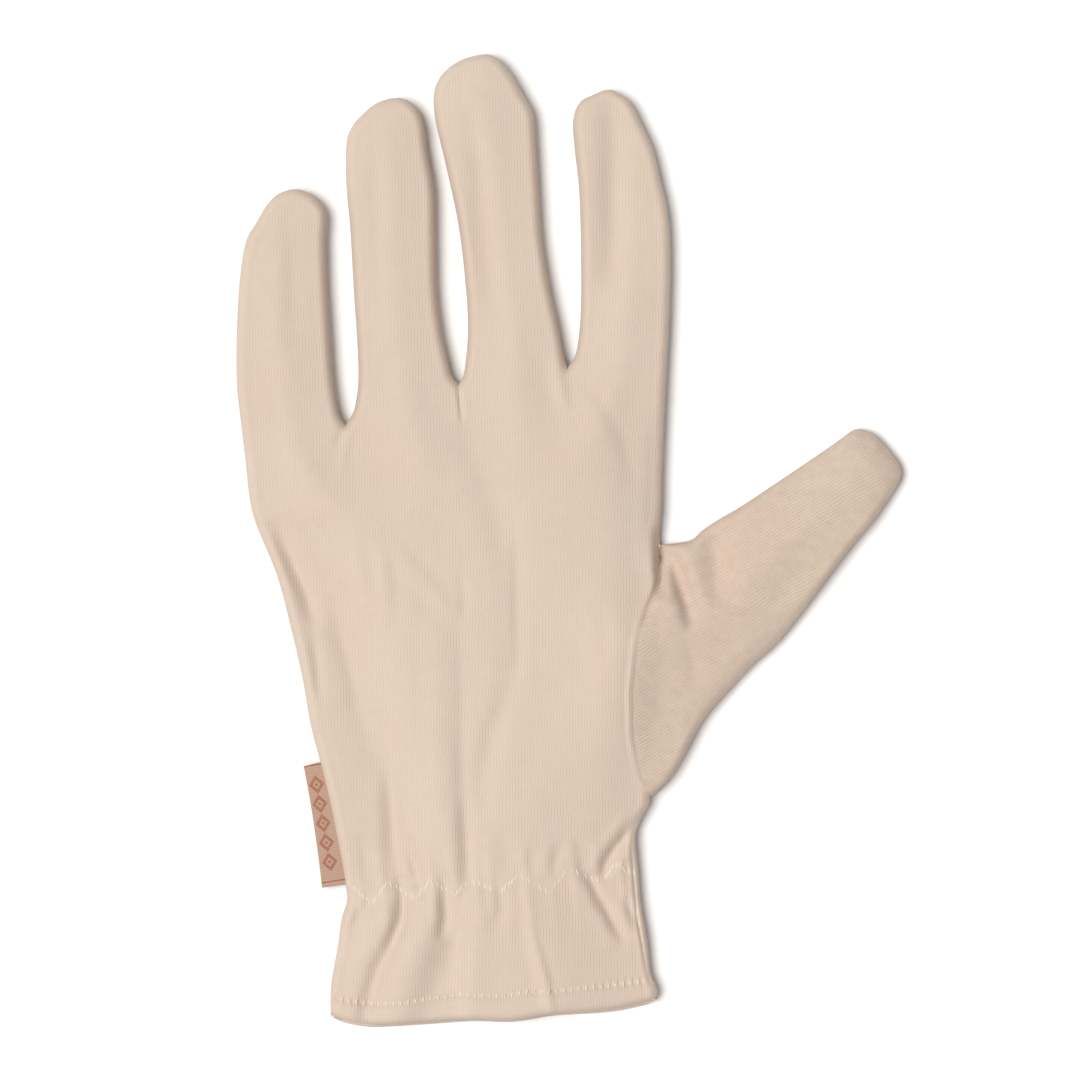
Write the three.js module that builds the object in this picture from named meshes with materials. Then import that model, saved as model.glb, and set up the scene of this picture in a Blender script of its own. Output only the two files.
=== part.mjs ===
// A cotton glove for the left hand, lying on its palm: thin knitted cloth, closed fingers,
// a thumb sewn into the side, a wrist gathered by an elastic and a turned-up hem.
// Lengths are millimetres. +X is the thumb's side, +Y the fingertips, +Z up.
// In the plan tables x = 0 is the middle of the cuff and y = 0 the lowest point of the hem.
import * as THREE from 'three';

// Driving dimensions
const WALL = 1.0; // one layer of the knitted cotton
const HEM_WALL = 2.0; // the hem is the same cloth turned in, two layers
const SEAM_GAP = 0.32; // between neighbouring pieces
const SEAM_HEIGHT = 3.6; // the side seam's height over the surface that the glove lies on
const TOP_EDGE_RADIUS = 7.0; // how far in from the side seam the back turns level
const TOP_EDGE_RISE = 4.6; // and how far it rises there
const PALM_EDGE_RADIUS = 4.0; // how far in from the side seam the palm lies flat
const FULLNESS = 4.6; // what the middle of the hand adds to the fingers' height
const FULLNESS_REACH = 31.0; // distance from the side seam where that is reached
const CUFF_LOSS = 1.6; // the cuff's mouth lies lower than the hand
const ELASTIC_THICKNESS = 1.0;
const WRIST_PINCH = 0.8; // how far the elastic draws the back down
const WRIST_REACH = 11.0; // how far along the glove its pull is felt
const BACK_GATHER = 0.7; // half the height of a gather on the back
const PALM_GATHER = 0.5; // how far a gather lifts the palm off the surface
const GATHERS = 8; // gathers drawn up by the elastic across the back
const GATHER_FADE = 0.2; // share of the elastic's pull under which the palm stays flat
const THUMB_SEAM_TUCK = 0.7; // how deep the cloth is drawn in at the thumb's seam
const THUMB_SEAM_REACH = 2.0; // how far from the seam that is felt
const FOLD_END = 0.04; // share of a fold's length that keeps a little of its depth at each end
const SHARPEST_CORNER = 0.5; // a seam's corners are drawn back by twice as much as its sides at most

// The label: its ends along the side seam, how far it stands out there and how it hangs
const LABEL = {
  low: 34.6,
  high: 64.8,
  foot: 0.4, // clear of the seam
  lowWidth: 5.4,
  highWidth: 3.8,
  thickness: 1.0,
  droop: 1.2,
  rows: 6,
};

// Grid of every sheet: columns run across, rows along
const FINGER_COLUMNS = 8;
const FINGER_ROWS = 11;
const THUMB_ROWS = 13;
const HEM_CROWDING = 0.5; // how much closer the columns lie at the hem's two ends than in its middle
const TIP_EASE = 1.4; // above 1 the rows of a finger or thumb lie close at its root as well as at its tip
const TIP_STOP = 0.968; // share of a finger's side where its last row lies, just short of the tip's point
const OUTLINE_STEPS = 40; // straight steps that stand for one side when distances are measured

// Plan of the fingers: the two sides at each section, up to the tip's point
const FINGERS = [
  {
    tip: { x: -49.8, y: 208.9 }, // little finger
    sections: [
      { y: 156.5, left: -63.4, right: -38.4 },
      { y: 169.0, left: -63.9, right: -40.4 },
      { y: 186.0, left: -62.9, right: -41.1 },
      { y: 199.5, left: -59.0, right: -40.8 },
      { y: 205.2, left: -55.6, right: -43.2 },
    ],
  },
  {
    tip: { x: -23.6, y: 231.5 }, // ring finger
    sections: [
      { y: 169.0, left: -33.8, right: -11.2 },
      { y: 184.0, left: -34.7, right: -13.8 },
      { y: 203.5, left: -36.1, right: -14.0 },
      { y: 219.5, left: -36.6, right: -15.6 },
      { y: 227.2, left: -32.8, right: -17.9 },
    ],
  },
  {
    tip: { x: -2.0, y: 242.5 }, // middle finger
    sections: [
      { y: 172.0, left: -6.3, right: 17.3 },
      { y: 187.5, left: -7.1, right: 14.0 },
      { y: 206.0, left: -10.6, right: 11.9 },
      { y: 228.0, left: -14.8, right: 10.9 },
      { y: 237.0, left: -12.5, right: 5.1 },
    ],
  },
  {
    tip: { x: 29.2, y: 233.5 }, // index finger
    sections: [
      { y: 177.0, left: 22.0, right: 44.7 },
      { y: 193.5, left: 22.2, right: 44.7 },
      { y: 211.5, left: 21.0, right: 42.4 },
      { y: 225.5, left: 20.5, right: 37.6 },
      { y: 231.2, left: 23.3, right: 34.2 },
    ],
  },
];

// Where the fingers part: the outer sides of the first and last finger and the three crotches
const KNUCKLES = [
  { x: -62.8, y: 150.0 },
  { x: -36.2, y: 150.0 },
  { x: -8.3, y: 160.2 },
  { x: 19.5, y: 164.5 },
  { x: 44.2, y: 164.5 },
];

// Plan of the hand: the little finger's side and the thumb's side at each section
const HAND = [
  { y: 2.0, left: -40.2, right: 40.6 },
  { y: 8.0, left: -40.1, right: 41.2 },
  { y: 14.0, left: -39.8, right: 40.2 },
  { y: 24.0, left: -38.3, right: 39.5 },
  { y: 35.0, left: -36.9, right: 38.1 },
  { y: 50.8, left: -39.9, right: 37.0 },
  { y: 65.0, left: -42.6, right: 35.8 },
  { y: 80.0, left: -46.1, right: 35.3 },
  { y: 95.0, left: -49.5, right: 36.6 },
  { y: 110.5, left: -54.0, right: 40.6 },
  { y: 119.8, left: -57.6, right: 42.1 },
  { y: 132.0, left: -61.2, right: 42.6 },
  { y: 150.0, left: -62.8, right: 43.4 },
  { y: 164.5, left: -63.8, right: 44.2 },
];

// Plan of the thumb: a point on its upper and its lower side at each section, then a round tip
const THUMB = [
  { upperX: 49.6, upperY: 120.8, lowerX: 46.2, lowerY: 63.9 },
  { upperX: 56.0, upperY: 125.8, lowerX: 54.4, lowerY: 77.8 },
  { upperX: 66.0, upperY: 131.8, lowerX: 66.5, lowerY: 91.0 },
  { upperX: 79.0, upperY: 140.5, lowerX: 80.6, lowerY: 106.6 },
  { upperX: 89.4, upperY: 147.6, lowerX: 101.9, lowerY: 135.8 },
];
const THUMB_TIP_BULGE = 4.1;

// The hem's edge across the cuff
const HEM = [
  { x: -40.2, y: 2.2 },
  { x: -34.0, y: 0.1 },
  { x: -18.0, y: 0.8 },
  { x: -3.0, y: 1.7 },
  { x: 12.0, y: 2.4 },
  { x: 28.0, y: 4.5 },
  { x: 40.8, y: 6.2 },
];

// Rows of the hand: where a station meets the little finger's side and the thumb's side,
// how thick the cloth is there, how many rows lead on to the next station and how they crowd at both ends
const STATIONS = {
  knuckles: { left: 150, right: 164.5, wall: WALL, rows: 3, crowding: 0 },
  thumb_crotch: { left: 124, right: 119.8, wall: WALL, rows: 10, crowding: 0.6 },
  thumb_heel: { left: 52, right: 50.8, wall: WALL, rows: 3, crowding: 0 },
  elastic_top: { left: 37.3, right: 40.3, wall: WALL, rows: 2, crowding: 0 },
  elastic_bottom: { left: 32.3, right: 35.5, wall: WALL, rows: 3, crowding: 0 },
  hem_line: { left: 9.2, right: 13.4, wall: WALL, rows: 1, crowding: 0 },
  hem_turn: { left: 8.6, right: 12.8, wall: HEM_WALL, rows: 1, crowding: 0 },
  hem_edge: { left: 2.2, right: 6.2, wall: HEM_WALL, rows: 0, crowding: 0 },
};

// Main folds of the back and thumb: valleys along a line
const FOLDS = [
  { fromX: -8.2, fromY: 161, toX: -7.4, toY: 152, depth: 0.9, width: 2.6 }, // puckers under the crotches
  { fromX: 19.4, fromY: 165, toX: 18.6, toY: 156, depth: 0.7, width: 3.0 },
  { fromX: -36.2, fromY: 151, toX: -38.5, toY: 143, depth: 0.6, width: 3.0 },
  { fromX: 28.2, fromY: 226, toX: 28.8, toY: 172, depth: 0.5, width: 2.8 }, // crease down the index finger
  { fromX: -53.0, fromY: 122, toX: -38.0, toY: 92, depth: 1.0, width: 5.0 }, // slack of the outer side
  { fromX: 4.0, fromY: 122, toX: 5.0, toY: 46, depth: 0.8, width: 5.0 }, // trough down the middle
  { fromX: -7.6, fromY: 58, toX: -6.4, toY: 36, depth: 1.1, width: 3.0 }, // creases that run into the elastic
  { fromX: -26.0, fromY: 47, toX: -17.0, toY: 35, depth: 1.0, width: 3.2 },
  { fromX: 36.0, fromY: 50, toX: 28.0, toY: 37, depth: 1.1, width: 3.4 },
  { fromX: -11.4, fromY: 35, toX: -11.6, toY: 23, depth: 1.1, width: 3.0 }, // creases of the cuff below it
  { fromX: -22.6, fromY: 31, toX: -28.6, toY: 15, depth: 1.0, width: 4.0 },
  { fromX: 8.6, fromY: 25, toX: 14.8, toY: 3, depth: 1.0, width: 3.2 },
  { fromX: 23.4, fromY: 36, toX: 33.0, toY: 20, depth: 1.0, width: 3.2 },
  { fromX: 44.0, fromY: 116, toX: 50.0, toY: 103, depth: 1.2, width: 3.6 }, // dent beside the thumb's crotch
];

const CLOTH = new THREE.MeshStandardMaterial({ color: '#dfcdbc', roughness: 0.92, metalness: 0 });
const ELASTIC = new THREE.MeshStandardMaterial({ color: '#ece4d8', roughness: 0.85, metalness: 0 });
const LABEL_WEAVE = new THREE.MeshStandardMaterial({ color: '#c9a08c', roughness: 0.8, metalness: 0 });

const { lerp: mix, clamp, smoothstep } = THREE.MathUtils;
const shares = (count) => Array.from({ length: count + 1 }, (_, k) => k / count);
const point2 = (x, y) => new THREE.Vector2(x, y);
const between = (a, b, share) => a.clone().lerp(b, share);

// Sides of the pieces in plan

const splineThrough = (points) => new THREE.SplineCurve(points.map(({ x, y }) => point2(x, y)));

/** A smooth function of one column of a table over another. */
function columnOver(rows, key, value) {
  const curve = new THREE.CubicInterpolant(rows.map((row) => row[key]), rows.map((row) => row[value]), 1);
  return (at) => curve.evaluate(at)[0];
}

const leftOfHand = columnOver(HAND, 'y', 'left');
const rightOfHand = columnOver(HAND, 'y', 'right');
const hemAt = columnOver(HEM, 'x', 'y');
const littleSide = (y) => point2(leftOfHand(y), y);
const thumbSide = (y) => point2(rightOfHand(y), y);

const fingers = FINGERS.map(({ tip, sections }, k) => ({
  left: splineThrough([KNUCKLES[k], ...sections.map(({ y, left }) => ({ x: left, y })), tip]),
  right: splineThrough([KNUCKLES[k + 1], ...sections.map(({ y, right }) => ({ x: right, y })), tip]),
}));

const thumbUpper = splineThrough([
  thumbSide(STATIONS.thumb_crotch.right),
  ...THUMB.map(({ upperX, upperY }) => point2(upperX, upperY)),
]);
const thumbLower = splineThrough([
  thumbSide(STATIONS.thumb_heel.right),
  ...THUMB.map(({ lowerX, lowerY }) => point2(lowerX, lowerY)),
]);
const [tipStart, tipEnd] = [thumbUpper.getPoint(1), thumbLower.getPoint(1)];
const tipChord = tipEnd.clone().sub(tipStart);
const tipMiddle = between(tipStart, tipEnd, 0.5);
const thumbTip = new THREE.EllipseCurve(
  tipMiddle.x, tipMiddle.y, tipChord.length() / 2, THUMB_TIP_BULGE, Math.PI, 0, true, tipChord.angle(),
);

/** A side as short straight steps, each a pair of points. */
function stepsAlong(side, from, to) {
  const points = shares(OUTLINE_STEPS).map((share) => side(mix(from, to, share)));
  return points.slice(1).map((point, k) => [points[k], point]);
}

const alongCurve = (curve, to = 1) => stepsAlong((share) => curve.getPointAt(share), 0, to);

// The closed part of the outline: the cuff's mouth is open, so the hem is no part of it
const outline = [
  ...fingers.flatMap(({ left, right }) => [
    ...alongCurve(left, TIP_STOP),
    ...alongCurve(right, TIP_STOP),
    [left.getPointAt(TIP_STOP), right.getPointAt(TIP_STOP)],
  ]),
  ...[thumbUpper, thumbTip, thumbLower].flatMap((curve) => alongCurve(curve)),
  ...stepsAlong(littleSide, STATIONS.knuckles.left, STATIONS.hem_edge.left),
  ...stepsAlong(thumbSide, STATIONS.knuckles.right, STATIONS.thumb_crotch.right),
  ...stepsAlong(thumbSide, STATIONS.thumb_heel.right, STATIONS.hem_edge.right),
];
const thumbSeam = stepsAlong(thumbSide, STATIONS.thumb_crotch.right, STATIONS.thumb_heel.right);

/** Distance from a plan point to the line from a to b, and the share of the line where it is nearest. */
function toLine(x, y, a, b) {
  const length2 = (b.x - a.x) ** 2 + (b.y - a.y) ** 2;
  const share = clamp(((x - a.x) * (b.x - a.x) + (y - a.y) * (b.y - a.y)) / length2, 0, 1);
  return { distance: Math.hypot(x - mix(a.x, b.x, share), y - mix(a.y, b.y, share)), share };
}

const toNearest = (x, y, steps) => Math.min(...steps.map(([a, b]) => toLine(x, y, a, b).distance));

// Heights of the cloth's outer surface

const quarterRound = (distance, radius) => Math.sqrt(1 - (1 - Math.min(distance / radius, 1)) ** 2);
const bell = (distance, reach) => Math.exp(-((distance / reach) ** 2));

/** How far a point lies up the glove from the middle of the elastic. */
function overElastic(x, y) {
  const { elastic_top: upper, elastic_bottom: lower } = STATIONS;
  const [left, right] = [(upper.left + lower.left) / 2, (upper.right + lower.right) / 2];
  const share = (x - leftOfHand(left)) / (rightOfHand(right) - leftOfHand(left));
  return y - mix(left, right, share);
}

/** How deep the listed folds are at a plan point. Each fades out at both ends. */
function foldDepth(x, y) {
  const depths = FOLDS.map(({ fromX, fromY, toX, toY, depth, width }) => {
    const { distance, share } = toLine(x, y, point2(fromX, fromY), point2(toX, toY));
    const fade = Math.sqrt(Math.sin(Math.PI * clamp(share, FOLD_END, 1 - FOLD_END)));
    return depth * fade * bell(distance, width);
  });
  return Math.max(...depths);
}

/** The gathers' wave at the column share u: 1 on a crest, -1 in a valley, 0 at both sides. */
const gatherWave = (u) => Math.cos(2 * Math.PI * GATHERS * u) * Math.sqrt(Math.max(0, Math.sin(Math.PI * u)));

/** Height of the back at a plan point. */
function backHeight(x, y, u) {
  const distance = toNearest(x, y, outline);
  const along = overElastic(x, y);
  const full = smoothstep(distance, TOP_EDGE_RADIUS, FULLNESS_REACH) * FULLNESS;
  const pinch = bell(along, WRIST_REACH) * (WRIST_PINCH - BACK_GATHER * gatherWave(u));
  const cuff = smoothstep(-along, 0, STATIONS.elastic_bottom.left) * CUFF_LOSS;
  const tuck = bell(toNearest(x, y, thumbSeam), THUMB_SEAM_REACH) * THUMB_SEAM_TUCK;
  const edge = quarterRound(distance, TOP_EDGE_RADIUS);
  return SEAM_HEIGHT + edge * (TOP_EDGE_RISE + full - pinch - cuff - Math.max(tuck, foldDepth(x, y)));
}

/** Height of the palm at a plan point: flat on the surface, but for its rounded edge and the gathers. */
function palmHeight(x, y, u) {
  const edge = quarterRound(toNearest(x, y, outline), PALM_EDGE_RADIUS);
  if (edge < 1) return SEAM_HEIGHT * (1 - edge);
  const lift = (1 - gatherWave(u)) / 2;
  return PALM_GATHER * lift * smoothstep(bell(overElastic(x, y), WRIST_REACH), GATHER_FADE, 1);
}

// Plan grids

/** A patch between four edges, each given as a list of points. Rows run from near to far. */
function patch(near, far, left, right, rowShares) {
  const across = shares(near.length - 1);
  return rowShares.map((v, row) =>
    across.map((u, column) => {
      const offNear = near[column].clone().sub(between(near[0], near.at(-1), u)).multiplyScalar(1 - v);
      const offFar = far[column].clone().sub(between(far[0], far.at(-1), u)).multiplyScalar(v);
      return between(left[row], right[row], u).add(offNear).add(offFar);
    }),
  );
}

/** Shares that crowd towards both ends: evenly spread at crowding 0, as the points of a half circle at 1. */
const crowded = (count, crowding = 1) =>
  shares(count).map((share) => mix(share, (1 - Math.cos(Math.PI * share)) / 2, crowding));

/** Eases the rows of a finger, so that they lie closest together at its round tip. */
const towardsTip = (share) => Math.sin((Math.PI / 2) * share ** TIP_EASE);

/** The rows of the hand between two stations, with their heights on its two sides and their wall. */
function handRows(first, last) {
  const names = Object.keys(STATIONS);
  const stretch = names.slice(names.indexOf(first), names.indexOf(last));
  const rows = stretch.flatMap((name) => {
    const [from, to] = [STATIONS[name], STATIONS[names[names.indexOf(name) + 1]]];
    return crowded(from.rows, from.crowding).slice(0, -1).map((share) => ({
      left: mix(from.left, to.left, share),
      right: mix(from.right, to.right, share),
      wall: from.wall,
    }));
  });
  return [...rows, STATIONS[last]];
}

/** Plan grid of the hand, or of a band of it. */
function handGrid(first = 'knuckles', last = 'hem_edge') {
  const columns = FINGER_COLUMNS * fingers.length;
  const knuckles = KNUCKLES.map(({ x, y }) => point2(x, y));
  const near = shares(columns).map((u) => {
    const finger = Math.min(Math.floor(u * fingers.length), fingers.length - 1);
    const share = crowded(FINGER_COLUMNS)[Math.round(u * columns) - finger * FINGER_COLUMNS];
    return between(knuckles[finger], knuckles[finger + 1], share);
  });
  const [hemLeft, hemRight] = [littleSide(STATIONS.hem_edge.left), thumbSide(STATIONS.hem_edge.right)];
  const far = shares(columns).map((u) => {
    const shift = (HEM_CROWDING * Math.sin(2 * Math.PI * u)) / (2 * Math.PI);
    const x = mix(hemLeft.x, hemRight.x, u - shift);
    return point2(x, hemAt(x));
  });
  const [top, bottom] = [STATIONS.knuckles.right, STATIONS.hem_edge.right];
  const { thumb_crotch: crotch, thumb_heel: heel } = STATIONS;
  const rows = handRows(first, last);
  const grid = patch(
    near,
    far,
    rows.map((row) => littleSide(row.left)),
    rows.map((row) => thumbSide(row.right)),
    rows.map((row) => (top - row.right) / (top - bottom)),
  );
  return grid.map((points, k) =>
    points.map(({ x, y }, column) => {
      const { right, wall } = rows[k];
      const atKnuckles = k === 0 && first === 'knuckles' && column % FINGER_COLUMNS === 0;
      const atThumb = column === columns && right < crotch.right && right > heel.right;
      const onEdge = atKnuckles || ((column === 0 || column === columns) && !atThumb);
      return { x, y, u: column / columns, wall, onEdge };
    }),
  );
}

/** Plan grid of one finger, from the knuckles to its tip. */
function fingerGrid({ left, right }, place) {
  return shares(FINGER_ROWS).map((share) => {
    const along = TIP_STOP * towardsTip(share);
    const [a, b] = [left.getPointAt(along), right.getPointAt(along)];
    return crowded(FINGER_COLUMNS).map((across, column) => {
      const { x, y } = between(a, b, across);
      const onEdge = column === 0 || column === FINGER_COLUMNS || share === 1;
      return { x, y, u: (place + column / FINGER_COLUMNS) / fingers.length, wall: WALL, onEdge };
    });
  });
}

/** Plan grid of the thumb, from its seam with the hand to its tip. */
function thumbGrid() {
  const mouth = handRows('thumb_crotch', 'thumb_heel').map((row) => thumbSide(row.right));
  const columns = mouth.length - 1;
  const along = shares(THUMB_ROWS).map(towardsTip);
  const grid = patch(
    mouth,
    crowded(columns).map((share) => thumbTip.getPointAt(share)),
    along.map((share) => thumbUpper.getPointAt(share)),
    along.map((share) => thumbLower.getPointAt(share)),
    along,
  );
  return grid.map((points, row) =>
    points.map(({ x, y }, column) => {
      const onEdge = column === 0 || column === columns || row === THUMB_ROWS;
      return { x, y, u: 1, wall: WALL, onEdge };
    }),
  );
}

// Sheets and walls

/** Lifts a plan grid to the outer surface. It faces up on the back and down on the palm. */
function lift(grid, facesUp) {
  const height = facesUp ? backHeight : palmHeight;
  const points = grid.map((row) =>
    row.map((point) => ({ ...point, z: point.onEdge ? SEAM_HEIGHT : height(point.x, point.y, point.u) })),
  );
  return { points, facesUp };
}

const keyOf = ({ x, y, z }) => [x, y, z].map((value) => Math.round(value * 1e4)).join();
const toVector = ({ x, y, z }) => new THREE.Vector3(x, y, z);

/** Joins lifted grids into one sheet of points and triangles. */
function weld(grids) {
  const [places, points, faces] = [new Map(), [], []];
  const place = (point) => {
    const key = keyOf(point);
    if (!places.has(key)) places.set(key, points.push(point) - 1);
    return places.get(key);
  };
  for (const { points: grid, facesUp } of grids) {
    const [a, b, c] = [grid[0][0], grid[0].at(-1), grid.at(-1)[0]];
    const turnsUp = (b.x - a.x) * (c.y - a.y) > (b.y - a.y) * (c.x - a.x);
    const cells = grid.slice(1).flatMap((row, k) =>
      row.slice(1).map((far, column) => [grid[k][column], grid[k][column + 1], far, row[column]].map(place)),
    );
    for (const cell of cells) {
      const [i, j, k, l] = turnsUp === facesUp ? cell : cell.reverse();
      faces.push([i, j, k], [i, k, l]);
    }
  }
  return { points, faces };
}

/** A face's outward normal, as long as twice the face's area. */
function faceNormal(points, face) {
  const [a, b, c] = face.map((k) => toVector(points[k]));
  return b.sub(a).cross(c.sub(a));
}

/** The outward direction at every point of a surface, under the point's key. */
function outwardNormals({ points, faces }) {
  const sums = points.map(() => new THREE.Vector3());
  for (const face of faces) {
    const normal = faceNormal(points, face);
    for (const k of face) sums[k].add(normal);
  }
  return new Map(points.map((point, k) => [keyOf(point), sums[k].normalize()]));
}

/** The open edges of a sheet, as pairs of point numbers, with the sheet on their left. */
function openEdges({ faces }) {
  const sides = faces.flatMap((face) => face.map((i, k) => ({ i, j: face[(k + 1) % 3] })));
  const known = new Set(sides.map(({ i, j }) => `${i},${j}`));
  return sides.filter(({ i, j }) => !known.has(`${j},${i}`));
}

/** Draws a sheet's open edges back into it, square to the rim, by half the gap that a seam leaves. */
function drawnBack(sheet, normals) {
  const edges = sheet.points.map(() => []);
  for (const { i, j } of openEdges(sheet)) {
    const along = toVector(sheet.points[j]).sub(toVector(sheet.points[i])).normalize();
    edges[i].push(along);
    edges[j].push(along);
  }
  return sheet.points.map((point, k) => {
    if (!edges[k].length) return toVector(point);
    const [a, b] = edges[k];
    const normal = normals.get(keyOf(point));
    const inward = normal.clone().cross(a.clone().add(b)).normalize();
    const squareness = Math.abs(normal.clone().cross(a).normalize().dot(inward));
    return toVector(point).addScaledVector(inward, SEAM_GAP / 2 / Math.max(squareness, SHARPEST_CORNER));
  });
}

/** A closed solid between two depths under a sheet, with a rim along the sheet's open edges. */
function wallUnder(sheet, outer, normals, outerDepth, innerDepth) {
  const outward = sheet.points.map((point) => normals.get(keyOf(point)));
  const sunk = (point, k, depth) => point.clone().addScaledVector(outward[k], -depth);
  const layer = (depthAt) => outer.map((point, k) => sunk(point, k, depthAt(sheet.points[k])));
  const count = outer.length;
  const triangles = sheet.faces.flatMap(([i, j, k]) => [[i, j, k], [k + count, j + count, i + count]]);
  for (const { i, j } of openEdges(sheet)) {
    // Rims that face each other across a seam are split along the same line
    if (sheet.points[i].y > sheet.points[j].y) triangles.push([j, i, j + count], [i, i + count, j + count]);
    else triangles.push([j, i, i + count], [j, i + count, j + count]);
  }
  const places = [...layer(outerDepth), ...layer(innerDepth)].flatMap((point) => point.toArray());
  const geometry = new THREE.BufferGeometry();
  geometry.setAttribute('position', new THREE.Float32BufferAttribute(places, 3));
  geometry.setIndex(triangles.flat());
  geometry.computeVertexNormals();
  return geometry;
}

const handAndFingers = [handGrid(), ...fingers.map(fingerGrid)];
const backGrids = handAndFingers.map((grid) => lift(grid, true));
const palmGrids = handAndFingers.map((grid) => lift(grid, false));
const thumbGrids = [lift(thumbGrid(), true), lift(thumbGrid(), false)];
const normals = outwardNormals(weld([...backGrids, ...palmGrids, ...thumbGrids]));

// Pieces

/** A panel of the glove: a wall of cloth whose sewn edges keep the seam's gap. */
function panel(grids) {
  const sheet = weld(grids);
  return wallUnder(sheet, drawnBack(sheet, normals), normals, () => 0, ({ wall }) => wall);
}

/** The flat elastic sewn inside the wrist: a ring that follows the gathered cloth. */
function wristElastic() {
  const band = handGrid('elastic_top', 'elastic_bottom');
  const ring = weld([lift(band, true), lift(band, false)]);
  const depth = WALL + SEAM_GAP;
  return wallUnder(ring, ring.points.map(toVector), normals, () => depth, () => depth + ELASTIC_THICKNESS);
}

/** The folded woven label caught in the side seam, which stands out from it and droops. */
function sideLabel() {
  const { low, high, foot, lowWidth, highWidth, thickness, droop, rows } = LABEL;
  const grid = shares(rows).map((share) => {
    const width = mix(lowWidth, highWidth, share);
    const seam = littleSide(mix(low, high, share));
    const along = littleSide(seam.y + 1).sub(seam).normalize();
    const outward = point2(-along.y, along.x);
    return [0, width / 2, width].map((reach) => {
      const { x, y } = seam.clone().addScaledVector(outward, foot + reach);
      return { x, y, z: SEAM_HEIGHT + thickness / 2 - droop * (reach / width) ** 2 };
    });
  });
  const sheet = weld([{ points: grid, facesUp: true }]);
  return wallUnder(sheet, sheet.points.map(toVector), outwardNormals(sheet), () => 0, () => thickness);
}

const PIECES = {
  back: [panel(backGrids), CLOTH],
  palm: [panel(palmGrids), CLOTH],
  thumb: [panel(thumbGrids), CLOTH],
  wrist_elastic: [wristElastic(), ELASTIC],
  side_label: [sideLabel(), LABEL_WEAVE],
};

const glove = new THREE.Group();
for (const [name, [geometry, material]] of Object.entries(PIECES)) {
  const mesh = new THREE.Mesh(geometry, material);
  mesh.name = name;
  glove.add(mesh);
}

// The origin is on the surface that the glove lies on, under the middle of its outline
const extent = new THREE.Box3().setFromObject(glove);
const middle = extent.getCenter(new THREE.Vector3());
glove.position.set(-middle.x, -middle.y, -extent.min.z);

export default glove;
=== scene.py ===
"""A thin cotton glove for the left hand, lying on its palm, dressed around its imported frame.

Plan measures are millimetres: x runs from the middle of the cuff towards the thumb, y from the hem towards
the fingertips and z up from the surface that the glove lies on.
"""

import logging
import math
from collections.abc import Sequence
from dataclasses import dataclass, field
from enum import Enum
from typing import Any

import bpy
import numpy as np
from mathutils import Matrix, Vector


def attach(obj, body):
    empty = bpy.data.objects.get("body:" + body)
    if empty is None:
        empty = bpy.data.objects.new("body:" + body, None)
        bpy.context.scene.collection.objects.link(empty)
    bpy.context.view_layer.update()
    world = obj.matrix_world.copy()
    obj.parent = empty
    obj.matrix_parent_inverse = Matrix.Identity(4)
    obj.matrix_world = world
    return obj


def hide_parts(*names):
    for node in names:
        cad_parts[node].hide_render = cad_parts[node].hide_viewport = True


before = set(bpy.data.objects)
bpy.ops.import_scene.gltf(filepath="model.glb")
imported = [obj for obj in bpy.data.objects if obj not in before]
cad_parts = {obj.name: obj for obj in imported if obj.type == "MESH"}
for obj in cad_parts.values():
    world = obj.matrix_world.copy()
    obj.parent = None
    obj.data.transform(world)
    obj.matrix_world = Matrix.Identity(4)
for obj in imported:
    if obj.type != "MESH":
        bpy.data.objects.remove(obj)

Point = tuple[float, float]
Array = np.ndarray
Grid = tuple[Array, bool]  # rows and columns of points, each with its extra cloth, and whether they face up
Faces = Sequence[Sequence[int]]
Piece = bpy.types.Object
Socket = bpy.types.NodeSocket
Inputs = Sequence[Any] | dict[str | int, Any]

LOG = logging.getLogger("glove")
MM = 0.001
PLAN_MIDDLE = (19.31, 120.69)  # the frame's origin in the plan
BODY = "root"
IMAGE_WIDTH_MM = 270.0  # what the square picture spans, at the height of the side seams
VIEW_CENTRE = (-7.2, -0.1)  # the picture's middle, millimetres in the frame
FLAT_CLOTH = "flat_cloth"  # where a point lay on the cloth before it was sewn, in millimetres
STITCH_PITCH = 2.6  # of the side seams
HEM_TICK = 1.85  # from one stitch of the hem's row to the next
SHARP_ANGLE = 78.0  # degrees between two faces from which their edge isn't smoothed


def linear(colour: str) -> tuple[float, float, float, float]:
    """Turn an sRGB hex colour into linear light.

    Args:
        colour: six hex digits after a hash sign.

    Returns:
        Red, green, blue and an alpha of one.
    """
    parts = [int(colour[k : k + 2], 16) / 255 for k in (1, 3, 5)]
    red, green, blue = (c / 12.92 if c <= 0.04045 else ((c + 0.055) / 1.055) ** 2.4 for c in parts)
    return red, green, blue, 1.0


def smoothstep(value: Array, low: float, high: float) -> Array:
    """Ease from 0 at low to 1 at high."""
    share = np.clip((value - low) / (high - low), 0, 1)
    return share * share * (3 - 2 * share)


def quarter_round(distance: Array, radius: float) -> Array:
    """Rise from 0 to 1 as a quarter of an ellipse does."""
    return np.sqrt(1 - (1 - np.clip(distance / radius, 0, 1)) ** 2)


def crowded(count: int, crowding: float = 0.85) -> Array:
    """Shares from 0 to 1 in so many steps, closer at both ends: a crowding of 1 gives a half circle's."""
    even = np.linspace(0, 1, count + 1)
    return even + crowding * ((1 - np.cos(math.pi * even)) / 2 - even)


def blend(a: Any, b: Any, share: Any) -> Array:
    """The way from a to b, by a share."""
    return a * (1 - share) + b * share


def off_chord(row: Array, share: Array) -> Array:
    """How far a row of points lies off the straight line between its ends."""
    return row - blend(row[0], row[-1], share)


def slowing(shares: Array) -> Array:
    """Shares from 0 to 1 that lie closer together towards 1."""
    return 0.3 * shares + 0.7 * np.sin(math.pi / 2 * shares)


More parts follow.
